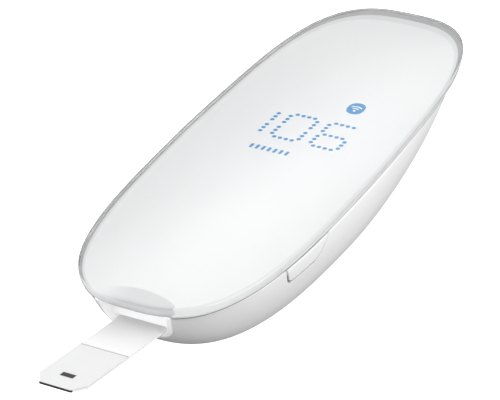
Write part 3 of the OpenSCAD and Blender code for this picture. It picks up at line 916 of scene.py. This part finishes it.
@dataclass
class CoverPlate:
    """The thick clear cover: flat under, softly crowned on top, with a small round along its upper rim."""

    plan: Plan = PLAN
    sides: int = 360
    bond: float = 0.01
    under_inset: float = 0.05
    tip_lean: float = 0.4
    rim_round: float = 0.22
    rim_turns: tuple[float, ...] = (0, 22.5, 45, 67.5, 90)
    least_half: float = 0.1
    draft: tuple[Pair, ...] = ((0.05, 0.25), (0.3, 0.15), (0.6, 0.05), (0.85, 0.0))
    crown_rings: tuple[float, ...] = (0.985, 0.95, 0.9, 0.84, 0.77, 0.69, 0.6, 0.5, 0.4, 0.3, 0.2, 0.1, 0.04)

    def ring(self, inset: float, size: float, z: float, lean: float = 0.0) -> list[Point]:
        """Makes one ring of the cover.

        Args:
            inset: how far it stands in all round.
            size: how far it is shrunk.
            z: its height.
            lean: how much further it stands in along the sides, and a part of that at the tips.

        Returns:
            The ring's points.
        """
        turns = [360 * k / self.sides for k in range(self.sides)]
        insets = [inset + lean * mix(self.tip_lean, 1, abs(math.sin(math.radians(t)))) for t in turns]
        return [(size * x, size * y, z) for x, y in map(self.plan.point, turns, insets)]

    def arch(self, x: float, y: float) -> float:
        """Returns how high the crown stands at a place, from 0 at the rim to 1 along the middle."""
        half = max(self.least_half, self.plan.half_at(y) - self.rim_round)
        return max(0.0, 1 - (x / half) ** 2) * (1 - (y / self.plan.half_length) ** 4)

    def build(self) -> None:
        """Makes the cover as one closed solid."""
        low, rim, r = self.plan.cover_z - self.bond, self.plan.cover_rim_z, self.rim_round
        crown = self.plan.top_z - rim
        rings = [self.ring(self.under_inset, 1, low, self.draft[0][1])]
        rings += [self.ring(0.0, 1, low + rise, lean) for rise, lean in self.draft]
        for a in self.rim_turns:
            out, up = on_circle((0, 0), r, a)
            rings.append(self.ring(r - out, 1, rim - r + up))
        rings += [[(x, y, rim + crown * self.arch(x, y)) for x, y, _ in self.ring(r, k, rim)]
                  for k in self.crown_rings]
        cover = ringed("cover_plate", rings)
        finish_piece(cover, Body.CASING, CLEAR_ACRYLIC.build(), ["clear_cover"])


@dataclass
class InkFilm:
    """The white film under the cover, with painted shade: grey along its border and over the recess of the
    port.

    Its UV map holds the way across the border (0 at the film's edge, 1 where the painted shade ends) and the
    distance from the cover's edge in centimetres.
    """

    plan: Plan = PLAN
    sides: int = 240
    edge: float = 0.3
    thickness: float = 0.1
    insets: tuple[float, ...] = (
        0.4, 0.5, 0.62, 0.75, 0.9, 1.1, 1.3, 1.5, 1.75, 2.0, 2.3, 2.6, 3.0, 3.4, 3.9, 4.5)
    sizes: tuple[float, ...] = (0.85, 0.6, 0.35, 0.1)
    past_shade: float = 9.0
    # Widths in mm of the painted border shade: least all round, more along the left side, more again at the
    # far tip
    shade: tuple[float, float, float] = (0.1, 0.3, 1.45)

    def ring(self, inset: float, size: float, z: float) -> list[Point]:
        """Returns one ring of the film at an inset, shrunk to a size."""
        points = (self.plan.point(360 * k / self.sides, inset) for k in range(self.sides))
        return [(size * x, size * y, z) for x, y in points]

    def shade_width(self, turn: float) -> float:
        """Works out how wide the border's painted grey shade is: widest along the left side and at the far
        tip.

        Args:
            turn: turn in degrees round the rim, from the near tip.

        Returns:
            The width in mm.
        """
        dx, dy, size = self.plan.stretch(turn)
        least, left, far = self.shade
        return least + left * max(0.0, -dy) / size + far * max(0.0, -dx) / size

    def build(self) -> None:
        """Makes the film with its UV map."""
        z = self.plan.cover_z
        rings = [self.ring(self.edge, 1, z - self.thickness), self.ring(self.edge, 1, z)]
        rings += [self.ring(inset, 1, z) for inset in self.insets]
        rings += [self.ring(self.insets[-1], size, z) for size in self.sizes]
        across = [self.edge, self.edge, *self.insets] + [self.past_shade] * len(self.sizes)
        film = ringed("ink_film", rings)
        places = nearest([point for points in rings for point in points])
        found = [divmod(places.find(v.co)[1], self.sides) for v in film.data.vertices]
        widths = [self.shade_width(360 * k / self.sides) for k in range(self.sides)]
        border = film.data.uv_layers.new(name="border")
        for loop in film.data.loops:
            j, k = found[loop.vertex_index]
            border.data[loop.index].uv = ((across[j] - self.edge) / widths[k], across[j] / 10)
        finish_piece(film, Body.CASING, INK_FILM_PAINTED_SHADE.build(), ["printed_film"])


@dataclass
class LowerCasing:
    """The boat-shaped lower casing, with openings for the port, key, ejector and charging plug.

    Each run is how far a cutter reaches along its own axis.
    """

    belly: Belly = BELLY
    inner: Point = (15.8 / 17.4, 46.4 / 48, 14.39 / 16.49)
    rows: int = 150
    columns: int = 76
    crowd: float = 0.06
    edge: float = 0.14
    seat: tuple[float, float, float] = (7, 11, 0.5)
    seat_z: Pair = (1.0, 2.4)
    rest: tuple[float, float, float] = (6.5, 9.5, 2.0)
    rest_rings: tuple[Pair, ...] = ((0.985, 0.0), (0.995, 0.04), (1.0, 0.12), (1.0, 0.9))
    port_gap: float = 0.06
    port_run: Pair = (-49, -41.4)
    key_gap: float = 0.28
    key_run: Pair = (11.8, 18.8)
    neck: tuple[float, float, float, float] = (-33.75, -23.25, 12.15, 14.65)
    neck_r: float = 0.3
    neck_run: Pair = (-19, -11.5)
    middle: float = 1e-9
    weld: float = 0.001
    usb_half: Pair = (4.15, 1.6)
    usb_r: float = 1.2
    usb_z: float = 12.05
    usb_run: Pair = (40, 49)

    def skin(self, name: str, scale: Point, edge: float) -> Piece:
        """Makes the outside of the casing, or its inside when it is scaled down.

        Args:
            name: name of the new object.
            scale: how far it is shrunk along each axis.
            edge: radius of the edge at the seam.

        Returns:
            The skin, open along its rim.
        """

        def place(u: float, v: float) -> Point:
            """Returns the skin's point for both directions of the grid."""
            around = 180 * (v - self.crowd * math.sin(2 * math.pi * v))
            return self.belly.surface(180 * u, around, scale, edge)

        sheet = grid(name, self.rows, self.columns, place)
        tidy_mesh(sheet, self.weld, recalculate=False)
        return sheet

    def build(self) -> None:
        """Makes the wall from its two skins, then cuts its openings."""
        shell = join(self.skin("casing", (1, 1, 1), self.edge), self.skin("casing_inside", self.inner, 0))
        for side in (1, -1):
            self.close_rim(shell, side)
        tidy_mesh(shell)
        w, h, r = self.seat
        cut(shell, prism("pad_seat", rounded(-w, w, -h, h, r), self.seat_z, along_z), "UNION")
        cut(shell, self.rest_pad(), "UNION")
        w, h = self.usb_half
        usb = rounded(-w, w, self.usb_z - h, self.usb_z + h, self.usb_r)
        for name, outline, run, turn in (
                ("port_cut", PORT.profile(self.port_gap), self.port_run, along_y),
                ("key_cut", KEY.opening(self.key_gap), self.key_run, along_x),
                ("neck_cut", rounded(*self.neck, self.neck_r), self.neck_run, along_x),
                ("usb_cut", usb, self.usb_run, along_y)):
            cut(shell, prism(name, outline, run, turn))
        finish_piece(shell, Body.CASING, SATIN_ABS.build(), ["lower_shell"])

    def close_rim(self, shell: Piece, side: int) -> None:
        """Bridges the two skins along one half of the rim.

        Args:
            shell: both skins in one object.
            side: 1 for the right half, -1 for the left one.
        """
        with editing(shell):
            select_open_edges()
            mesh = bmesh.from_edit_mesh(shell.data)
            for edge in mesh.edges:
                if edge.select and side * (edge.verts[0].co.x + edge.verts[1].co.x) < self.middle:
                    edge.select_set(False)
            mesh.select_flush_mode()
            bmesh.update_edit_mesh(shell.data)
            bpy.ops.mesh.bridge_edge_loops()

    def rest_pad(self) -> Piece:
        """Makes the flat pad that the meter rests on, with its lower edge rounded.

        Returns:
            The pad as a solid.
        """
        x, y, c = self.rest
        near = [(-x, c - y), (c - x, -y), (x - c, -y), (x, c - y)]
        outline = near + [(-p, -q) for p, q in near]
        return ringed("rest_pad", [[(k * p, k * q, z) for p, q in outline] for k, z in self.rest_rings])


@dataclass
class StripPort:
    """The glossy strip port: a U-shaped lip round a recess, and a back wall with the slot.

    Cutters go past what they cut, in front of it as far as before_y and above it as far as above_z.
    """

    top_half: float = 6.25
    low_half: float = 5.85
    low_z: float = 10.75
    corner: float = 2.7
    corner_steps: int = 16
    bend_z: float = 15.39
    top_z: float = 17.2
    lip: float = 0.6
    face_y: float = -45.0
    back_y: float = -41.8
    front_y: float = -48.0
    form_turns: tuple[float, ...] = (2, 3, 4.2, 5.5, 7, 9, 11, 13.5, 16, 19, 23, 28, 34, 40)
    form_steps: int = 40
    film_inset: float = 0.3
    film_gap: float = 0.11
    least_half: float = 0.12
    recess_r: float = 1.3
    recess_z: Pair = (5, 22)
    before_y: Pair = (-60, -52)
    above_z: Pair = (19, 20)
    room: tuple[float, ...] = (-9, 9, -50, -38, 0.1)
    fit: float = 0.06
    overlap: float = 0.05
    strip_z: float = 12.09
    slope: float = 10.65
    slot: tuple[float, float, float] = (4.4, -0.75, 0.62)
    slot_r: float = 0.2
    slot_run: Pair = (-1, 6)
    back_r: float = 12.2
    notch_gap: Pair = (0.4, 1.6)
    notch_steps: int = 12
    soft: float = 0.24
    weld: float = 0.002
    smooth: float = 40

    def profile(self, grow: float, top: float | None = None) -> Outline:
        """Draws the U of the port from the front.

        Args:
            grow: gap by which it is grown.
            top: height of its upper end, or None for its own.

        Returns:
            Its corners in x and z.
        """
        r, low = self.corner + grow, self.low_z - grow
        w_low, w_top = self.low_half + grow, self.top_half + grow
        right = [(w_top, self.top_z if top is None else top), (w_top, self.bend_z)]
        lean = math.degrees(math.atan2(w_top - w_low, self.bend_z - low - r))
        right += [on_circle((w_low - r, low + r), r, -lean - (90 - lean) * k / self.corner_steps)
                  for k in range(self.corner_steps + 1)]
        return right + [(-x, z) for x, z in reversed(right)]

    def build(self) -> None:
        """Makes the port from its U, the casing's own curve, the recess and the slot."""
        bar = prism("strip_port", self.profile(0), (self.front_y, self.back_y), along_y)
        cut(bar, ringed("port_form", [self.form_ring(a) for a in self.form_turns]), "INTERSECT")
        (far_y, near_y), (low_top, high_top) = self.before_y, self.above_z
        recess = prism("recess", self.profile(-self.lip, low_top), (near_y, self.face_y), along_y)
        wide = self.top_half - self.lip
        plan = rounded(-wide, wide, far_y, self.face_y, self.recess_r, steps=8)
        cut(recess, prism("recess_plan", plan, self.recess_z, along_z), "INTERSECT")
        cut(bar, recess)
        around = prism("around_notch", rounded(*self.room), (PLAN.tray_z - self.overlap, low_top), along_z)
        cut(around, prism("notch", self.notch(-self.fit), (PLAN.tray_z - 1, high_top), along_z))
        cut(bar, around)
        cut(bar, self.slot_tool())
        tidy_mesh(bar, self.weld)
        soften(bar, self.soft, segments=3, angle=self.smooth)
        finish_piece(bar, Body.CASING, PORT_ABS_PAINTED_GLOW.build(), ["port_bezel"], self.smooth)

    def notch(self, grow: float) -> Outline:
        """Draws the plan of the port's room in the tray, with an arc for its back.

        Args:
            grow: gap by which it is grown.

        Returns:
            Its corners in x and y.
        """
        beside, behind = self.notch_gap
        w, r, n = self.top_half + beside + grow, self.back_r + grow, self.notch_steps
        y = self.face_y + behind - self.back_r
        turn = math.asin(w / r)
        arc = [(r * math.sin(turn * k / n), y + r * math.cos(turn * k / n)) for k in range(n, -n - 1, -1)]
        return [(-w, self.before_y[1]), (w, self.before_y[1])] + arc

    def form_ring(self, along: float) -> list[Point]:
        """Makes a closed ring of the casing's form, up to the film's underside.

        Args:
            along: turn in degrees from the near tip.

        Returns:
            The ring's points.
        """
        under = [BELLY.surface(along, 180 * k / self.form_steps) for k in range(self.form_steps + 1)]
        y = under[0][1]
        half = max(self.least_half, PLAN.half_at(y) - self.film_inset)
        low, high = PLAN.seam_z + self.overlap, PLAN.cover_z - self.film_gap
        return under + [(-half, y, low), (-half, y, high), (half, y, high), (half, y, low)]

    def slot_tool(self) -> Piece:
        """Makes the slot's cutter, which slopes with the strip.

        Returns:
            The cutter.
        """
        w, low, high = self.slot
        c, s = math.cos(math.radians(-self.slope)), math.sin(math.radians(-self.slope))

        def turn(p: float, q: float, d: float) -> Point:
            """Puts the slot's outline across its slope."""
            return p, self.face_y + d * c - q * s, self.strip_z + d * s + q * c

        return prism("slot", rounded(-w, w, low, high, self.slot_r), self.slot_run, turn)


@dataclass
class SideKey:
    """The flush key in the right wall, with its arm, its hinge boss and the nose that works the switch.

    The arm and the nose are blocks, each given by where it lies in x and in y.
    """

    near: Pair = (-28.7, -27.4)
    far: Pair = (-17.1, -19.4)
    height: float = 3.15
    proud: float = 0.1
    top_gap: float = 0.12
    edge: float = 0.2
    corner: Pair = (0.8, 1.6)
    wall: float = 1.2
    sides: int = 16
    pin: Pair = (13.0, -17.0)
    bore: float = 0.63
    bore_z: Pair = (0, 20)
    boss_r: float = 1.3
    boss_z: float = 12.7
    arm: tuple[Pair, Pair] = ((12.6, 15.8), (-21.2, -19.3))
    arm_end: tuple[Pair, Pair] = ((12.3, 13.7), (-19.4, -17.9))
    arm_z: float = 13.2
    nose: tuple[Pair, Pair] = ((13.45, 15), (-25.2, -23.8))
    nose_z: Pair = (12.59, 13.25)
    root: tuple[Pair, Pair] = ((14.1, 15.5), (-25.2, -23.8))
    root_z: float = 12.84
    tray_gap: float = 0.15
    over_seam: float = 1.0
    cells: tuple[int, int] = (60, 24)
    smooth: float = 40

    def opening(self, grow: float) -> Outline:
        """Draws the key's opening from the side, up past the seam.

        Args:
            grow: gap round the key.

        Returns:
            Its corners in y and z.
        """
        z = PLAN.seam_z
        near, far = [(self.near[0] - grow, z + self.over_seam)], [(self.far[0] + grow, z + self.over_seam)]
        for k in range(self.sides + 1):
            t = 1 - (1 - k / self.sides) ** 2
            y0, y1 = self.ends(t)
            near.append((y0 - grow, z - t * (self.height + grow)))
            far.append((y1 + grow, z - t * (self.height + grow)))
        return near + far[::-1]

    def ends(self, t: float) -> Pair:
        """Returns where the key starts and ends at a part t of its height down, with round low corners."""
        near, far = [over_edge(r, (1 - t) * self.height) for r in self.corner]
        return mix(*self.near, t) + near, mix(*self.far, t) - far

    def face(self, s: float, t: float) -> Point:
        """Works out a point of the key's outer face, with its edges rounded over.

        Args:
            s: part of the way from the near end to the far one.
            t: part of the way down from its top.

        Returns:
            The point in mm.
        """
        y0, y1 = self.ends(t)
        y, length = mix(y0, y1, s), y1 - y0
        d = self.top_gap + t * (self.height - self.top_gap)
        border = min(s * length, (1 - s) * length, t * self.height, (1 - t) * self.height)
        return BELLY.half_at(y, d) + self.proud - over_edge(self.edge, border), y, PLAN.seam_z - d

    def build(self) -> None:
        """Makes the skin and joins the arm, the boss and the nose to it."""
        key = grid("side_key", *self.cells, lambda u, v: self.face(crowded(1 - u), crowded(v)))
        modify(key, "SOLIDIFY", thickness=self.wall * MM, offset=-1)
        under = PLAN.tray_z - self.tray_gap
        boss = prism("key_boss", circle(self.pin, self.boss_r), (self.boss_z, under), along_z)
        cut(boss, prism("key_bore", circle(self.pin, self.bore), self.bore_z, along_z))
        works = (("key_arm", self.arm, (self.arm_z, under)),
                 ("key_arm_end", self.arm_end, (self.arm_z, under)),
                 ("key_nose", self.nose, self.nose_z),
                 ("key_nose_root", self.root, (self.root_z, under)))
        blocks = [block(name, (x[0], y[0], z[0]), (x[1], y[1], z[1])) for name, (x, y), z in works]
        join(key, boss, *blocks)
        finish_piece(key, Body.KEY, SATIN_ABS.build(), ["power_key"], self.smooth)


@dataclass
class ThumbSlider:
    """The strip ejector's thumb piece on the left wall, with shallow grip grooves, its neck and its peg."""

    y: Pair = (-33.0, -18.0)
    z: Pair = (11.9, 15.5)
    out: Pair = (16.2, 18.4)
    gap: float = 0.2
    edge: float = 0.35
    end_power: float = 0.4
    grooves: int = 7
    groove_depth: float = 0.12
    grooved: float = 0.62
    groove_from: float = 0.4
    groove_fade: float = 0.3
    neck: tuple[float, float, float, float] = (-29.5, -23.5, 12.3, 14.5)
    neck_x: Pair = (-16.6, -11.0)
    peg: Point = (-26.5, 13.0, 0.6)
    peg_x: Pair = (-11.01, -9.1)
    peg_sides: int = 32
    cells: tuple[int, int] = (120, 48)
    smooth: float = 35

    def face(self, s: float, t: float) -> Point:
        """Works out a point of the outer face, with its grip grooves.

        Args:
            s: part of the way along the thumb piece.
            t: part of the way from its top edge over the face to its low one.

        Returns:
            The point in mm.
        """
        y = mix(*self.y, s)
        inside = BELLY.rim(y) + self.gap
        ends = max(0.0, math.sin(math.pi * s)) ** self.end_power
        out = (mix(*self.out, s) - inside) * (0.5 + 0.5 * ends)
        low, high = self.z
        height = high - low
        run = t * (height + 2 * out)
        x, z = inside + min(run, out), high
        if run > out:
            z = high - min(run - out, height)
        if run > out + height:
            x = inside + max(0.0, 2 * out + height - run)
        drop = min(high - z, z - low)
        if x > inside + out - self.edge:
            x -= over_edge(self.edge, drop)
        turn = (s - 0.5) * self.grooves / self.grooved
        if abs(turn) < self.grooves / 2 and drop > self.groove_from:
            fade = min(1.0, (drop - self.groove_from) / self.groove_fade)
            x -= self.groove_depth * (0.5 + 0.5 * math.cos(2 * math.pi * turn)) * fade
        return -x, y, z

    def build(self) -> None:
        """Makes the thumb piece and joins its neck and peg."""
        thumb = grid("thumb_slider", *self.cells, lambda u, v: self.face(crowded(u), v))
        with editing(thumb):
            select_open_edges()
            bpy.ops.mesh.edge_face_add()
            face_outwards()
        (x0, x1), (y0, y1, z0, z1) = self.neck_x, self.neck
        py, pz, r = self.peg
        join(thumb, block("thumb_neck", (x0, y0, z0), (x1, y1, z1)),
             prism("thumb_peg", circle((py, pz), r, self.peg_sides), self.peg_x, along_x))
        finish_piece(thumb, Body.EJECTOR, SATIN_ABS.build(), ["ejector_thumb"], self.smooth)


@dataclass
class Display:
    """Light dots behind the white ink: three digits, a status badge and a short row of marks."""

    digit_x: tuple[float, float, float] = (-7.92, -0.94, 6.04)
    digit_y: float = 6.15
    half_w: float = 2.4
    row_dy: float = 3.75
    column_dy: float = 1.9
    pitch: float = 1.05
    row_steps: tuple[float, ...] = (-1.5, -0.5, 0.5, 1.5)
    column_steps: tuple[float, ...] = (-1, 0, 1)
    lean: float = 2.8
    dot_r: float = 0.37
    dot_h: float = 0.02
    dot_sides: int = 20
    dot_rings: tuple[Pair, ...] = ((1, 0.0), (1, 0.6), (0.8, 1.0))
    badge: Pair = (5.45, 15.46)
    badge_half: Pair = (1.44, 1.78)
    badge_r: float = 1.4
    arcs_foot: float = 0.72
    arcs_r: Pair = (0.75, 1.35)
    arcs_half: float = 0.13
    arcs_turns: range = range(-42, 43, 6)
    arcs_dot: float = 0.24
    arcs_z: Pair = (0.01, 0.03)
    mark_at: Pair = (-1.56, -1.46)
    mark_half: Pair = (0.25, 0.62)
    mark_r: float = 0.2
    marks: int = 7
    figures: tuple[str, str, str] = ("1", "0", "6")

    def lit(self, figure: str, x: float) -> list[Pair]:
        """Finds the dots that are lit for one figure.

        Args:
            figure: the figure.
            x: middle of its digit.

        Returns:
            The places of the dots.
        """
        rows = {"1": (), "0": (-1, 1), "6": (-1, 0, 1)}[figure]
        columns = {"1": ((1, -1), (1, 1)), "0": ((-1, -1), (-1, 1), (1, -1), (1, 1)),
                   "6": ((-1, -1), (-1, 1), (1, -1))}[figure]
        dots = [(x + k * self.pitch, self.digit_y + r * self.row_dy)
                for r in rows for k in self.row_steps]
        dots += [(x + s * self.half_w, self.digit_y + h * self.column_dy + k * self.pitch)
                 for s, h in columns for k in self.column_steps]
        slope = math.tan(math.radians(self.lean))
        return [(px + (py - self.digit_y) * slope, py) for px, py in dots]

    def dot(self, name: str, at: Pair, mesh: bpy.types.Mesh | None) -> Piece:
        """Makes one low domed dot, the first one modelled and the others copied.

        Args:
            name: its name.
            at: its place in x and y.
            mesh: mesh of the first dot, or None to model it.

        Returns:
            The dot.
        """
        z = PLAN.cover_z
        if mesh is None:
            rim = circle((0, 0), self.dot_r, self.dot_sides)
            rings = [[(k * x, k * y, z + self.dot_h * h) for x, y in rim] for k, h in self.dot_rings]
            obj = ringed(name, rings)
        else:
            obj = placed(name, mesh.copy())
        obj.data.transform(Matrix.Translation((at[0] * MM, at[1] * MM, 0)))
        return obj

    def build(self) -> None:
        """Makes the dots of each digit, the badge with its mark and the row of marks."""
        master = self.dot("dot_master", (0, 0), None)
        for figure, x, name in zip(self.figures, self.digit_x, ("digit_left", "digit_middle", "digit_right")):
            dots = [self.dot(f"{name}_{k}", at, master.data) for k, at in enumerate(self.lit(figure, x))]
            digit = join(*dots)
            digit.name = name
            finish_piece(digit, Body.CASING, BLUE_LIGHT.build())
        bpy.data.objects.remove(master)
        self.build_badge()
        self.build_marks()

    def build_badge(self) -> None:
        """Makes the status badge, and its plain mark of a dot and two arcs."""
        (x, y), (w, h), z = self.badge, self.badge_half, PLAN.cover_z
        outline = rounded(x - w, x + w, y - h, y + h, self.badge_r, 10)
        plate = prism("status_badge", outline, (z, z + self.dot_h), along_z)
        finish_piece(plate, Body.CASING, BLUE_LIGHT.build())
        foot, levels = (x, y - self.arcs_foot), (z + self.arcs_z[0], z + self.arcs_z[1])
        parts = [prism("badge_dot", circle(foot, self.arcs_dot, self.dot_sides), levels, along_z)]
        for r in self.arcs_r:
            sides = ((r + self.arcs_half, self.arcs_turns), (r - self.arcs_half, self.arcs_turns[::-1]))
            arc = [on_circle(foot, q, 90 - a) for q, turns in sides for a in turns]
            parts.append(prism("badge_arc", arc, levels, along_z))
        mark = join(*parts)
        mark.name = "badge_mark"
        finish_piece(mark, Body.CASING, WHITE_MARK.build())

    def build_marks(self) -> None:
        """Makes the short row of unit marks under the digits."""
        z, (x0, y0), (w, h) = PLAN.cover_z, self.mark_at, self.mark_half
        slope = math.tan(math.radians(self.lean))
        marks = []
        for k in range(self.marks):
            x = x0 + self.pitch * (k - (self.marks - 1) / 2)
            upright = rounded(x - w, x + w, y0 - h, y0 + h, self.mark_r, 4)
            outline = [(p + (q - y0) * slope, q) for p, q in upright]
            marks.append(prism(f"unit_mark_{k}", outline, (z, z + self.dot_h), along_z))
        row = join(*marks)
        row.name = "unit_marks"
        finish_piece(row, Body.CASING, BLUE_LIGHT.build())


PORT = StripPort()
KEY = SideKey()


# ---- Studio ----


@dataclass
class Studio:
    """Pale floor, soft light all round, softboxes and the camera."""

    eye: Point = (166.098, -296.369, 223.91)
    sight: Point = (-0.42448, 0.72902, -0.53698)
    pan: float = 30.2107
    roll: float = -3.3562
    lens: float = 180.0
    sensor: float = 36.0
    clip: Pair = (0.01, 20.0)
    floor_size: float = 6.0
    floor_shade: float = 0.9
    sky: Pair = (0.22, 0.97)
    sky_rise: Pair = (-0.5, 0.6)
    gleam_side: Point = (0.81, 0.0, 0.5866)
    gleam: Pair = (0.12, 1.9)
    gleam_rise: Pair = (0.45, 0.56)

    def camera(self) -> None:
        """Makes the camera with the long lens that gives the meter its flat perspective."""
        data = bpy.data.cameras.new("camera")
        data.lens, data.sensor_width = self.lens, self.sensor
        data.clip_start, data.clip_end = self.clip
        obj = placed("camera", data)
        d = Vector(self.sight).normalized()
        right = Vector((math.cos(math.radians(self.pan)), math.sin(math.radians(self.pan)), 0))
        up = right.cross(d)
        c, s = math.cos(math.radians(self.roll)), math.sin(math.radians(self.roll))
        x, y = right * c + up * s, up * c - right * s
        turn = Matrix((x, y, -d)).transposed().to_4x4()
        obj.matrix_world = Matrix.Translation(Vector(self.eye) * MM) @ turn
        bpy.context.scene.camera = obj

    def floor(self) -> None:
        """Makes the pale floor, which isn't part of the object."""
        deselect()
        bpy.ops.mesh.primitive_plane_add(size=self.floor_size)
        obj = bpy.context.object
        obj.name = "floor"
        material = bpy.data.materials.new("pale_paper")
        tree = bare_tree(material)
        grey = (self.floor_shade,) * 3 + (1,)
        shader = add_node(tree, "BsdfPrincipled",
                          {"Base Color": grey, "Roughness": 0.9, "Specular IOR Level": 0.0,
                           "Emission Color": (1, 1, 1, 1), "Emission Strength": 1.0})
        add_node(tree, "OutputMaterial", {}, {"Surface": shader.outputs[0]})
        obj.data.materials.append(material)
        obj.visible_diffuse = obj.visible_glossy = obj.visible_transmission = False
        obj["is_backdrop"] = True

    def world(self) -> None:
        """Makes the soft light all round, dim below, with one soft bright band over the meter."""
        world = bpy.data.worlds.new("studio")
        bpy.context.scene.world = world
        tree = bare_tree(world)
        place = add_node(tree, "TexCoord")
        apart = add_node(tree, "SeparateXYZ", {}, {0: place.outputs["Generated"]})
        level, rise = [
            add_node(tree, "MapRange", {"interpolation_type": "SMOOTHSTEP", "From Min": low,
                                        "From Max": high, "To Min": least, "To Max": most},
                     {"Value": apart.outputs[2]})
            for (low, high), (least, most) in ((self.sky_rise, self.sky), (self.gleam_rise, (0.0, 1.0)))]
        along = add_node(tree, "VectorMath", {"operation": "DOT_PRODUCT", 1: self.gleam_side},
                         {0: place.outputs["Generated"]})
        off = add_node(tree, "Math", {"operation": "ABSOLUTE"}, {0: along.outputs["Value"]})
        width, peak = self.gleam
        gleam = add_node(tree, "MapRange", {"interpolation_type": "SMOOTHSTEP", "From Min": 0.0,
                                            "From Max": width, "To Min": peak, "To Max": 0.0},
                         {"Value": off.outputs[0]})
        total = add_node(tree, "Math", {"operation": "MULTIPLY_ADD"},
                         {0: gleam.outputs[0], 1: rise.outputs[0], 2: level.outputs[0]})
        back = add_node(tree, "Background", {"Color": (1, 1, 1, 1)}, {"Strength": total.outputs[0]})
        add_node(tree, "OutputWorld", {}, {"Surface": back.outputs[0]})

    def softbox(self, name: str, at: Point, size: Pair, power: float, toward: Point,
                gloss_only: bool = False) -> None:
        """Adds one rectangular softbox.

        Args:
            name: its name.
            at: its place in mm.
            size: its width and height in mm.
            power: its power in watts.
            toward: the direction that it shines in.
            gloss_only: true for one that only shows as a gleam on glossy edges.
        """
        data = bpy.data.lights.new(name, "AREA")
        data.shape, data.size, data.size_y, data.energy = "RECTANGLE", size[0] * MM, size[1] * MM, power
        obj = placed(name, data)
        obj.location = Vector(at) * MM
        obj.rotation_mode = "QUATERNION"
        obj.rotation_quaternion = Vector(toward).to_track_quat("-Z", "Y")
        obj.visible_diffuse = obj.visible_transmission = not gloss_only

    def build(self) -> None:
        """Sets the whole stage."""
        bpy.context.scene.view_settings.view_transform = "Standard"
        self.camera()
        self.floor()
        self.world()
        self.softbox("right_box", at=(900, 100, 300), size=(900, 900), power=7.6, toward=(-900, -100, -290))
        self.softbox("left_box", at=(-750, -650, 120), size=(700, 500), power=3, toward=(750, 650, -110))
        self.softbox("rim_box", at=(567, -54, 702), size=(250, 250), power=3, toward=(-567, 54, -690),
                     gloss_only=True)


def corners(box: tuple[Vector, Vector]) -> list[list[float]]:
    """Returns a box's lowest and highest corner as plain lists."""
    return [[round(c, 6) for c in corner] for corner in box]


def main() -> None:
    """Builds the stage and every sub-assembly in order."""
    logging.basicConfig(level=logging.INFO, format="%(name)s: %(message)s")
    cad_box = corners(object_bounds())
    Studio().build()
    dress_cad(frame["nodes"])
    LowerCasing().build()
    PORT.build()
    KEY.build()
    ThumbSlider().build()
    InkFilm().build()
    CoverPlate().build()
    Display().build()
    {"cad": cad_box, "visual": corners(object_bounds())}


if __name__ == "__main__":
    main()
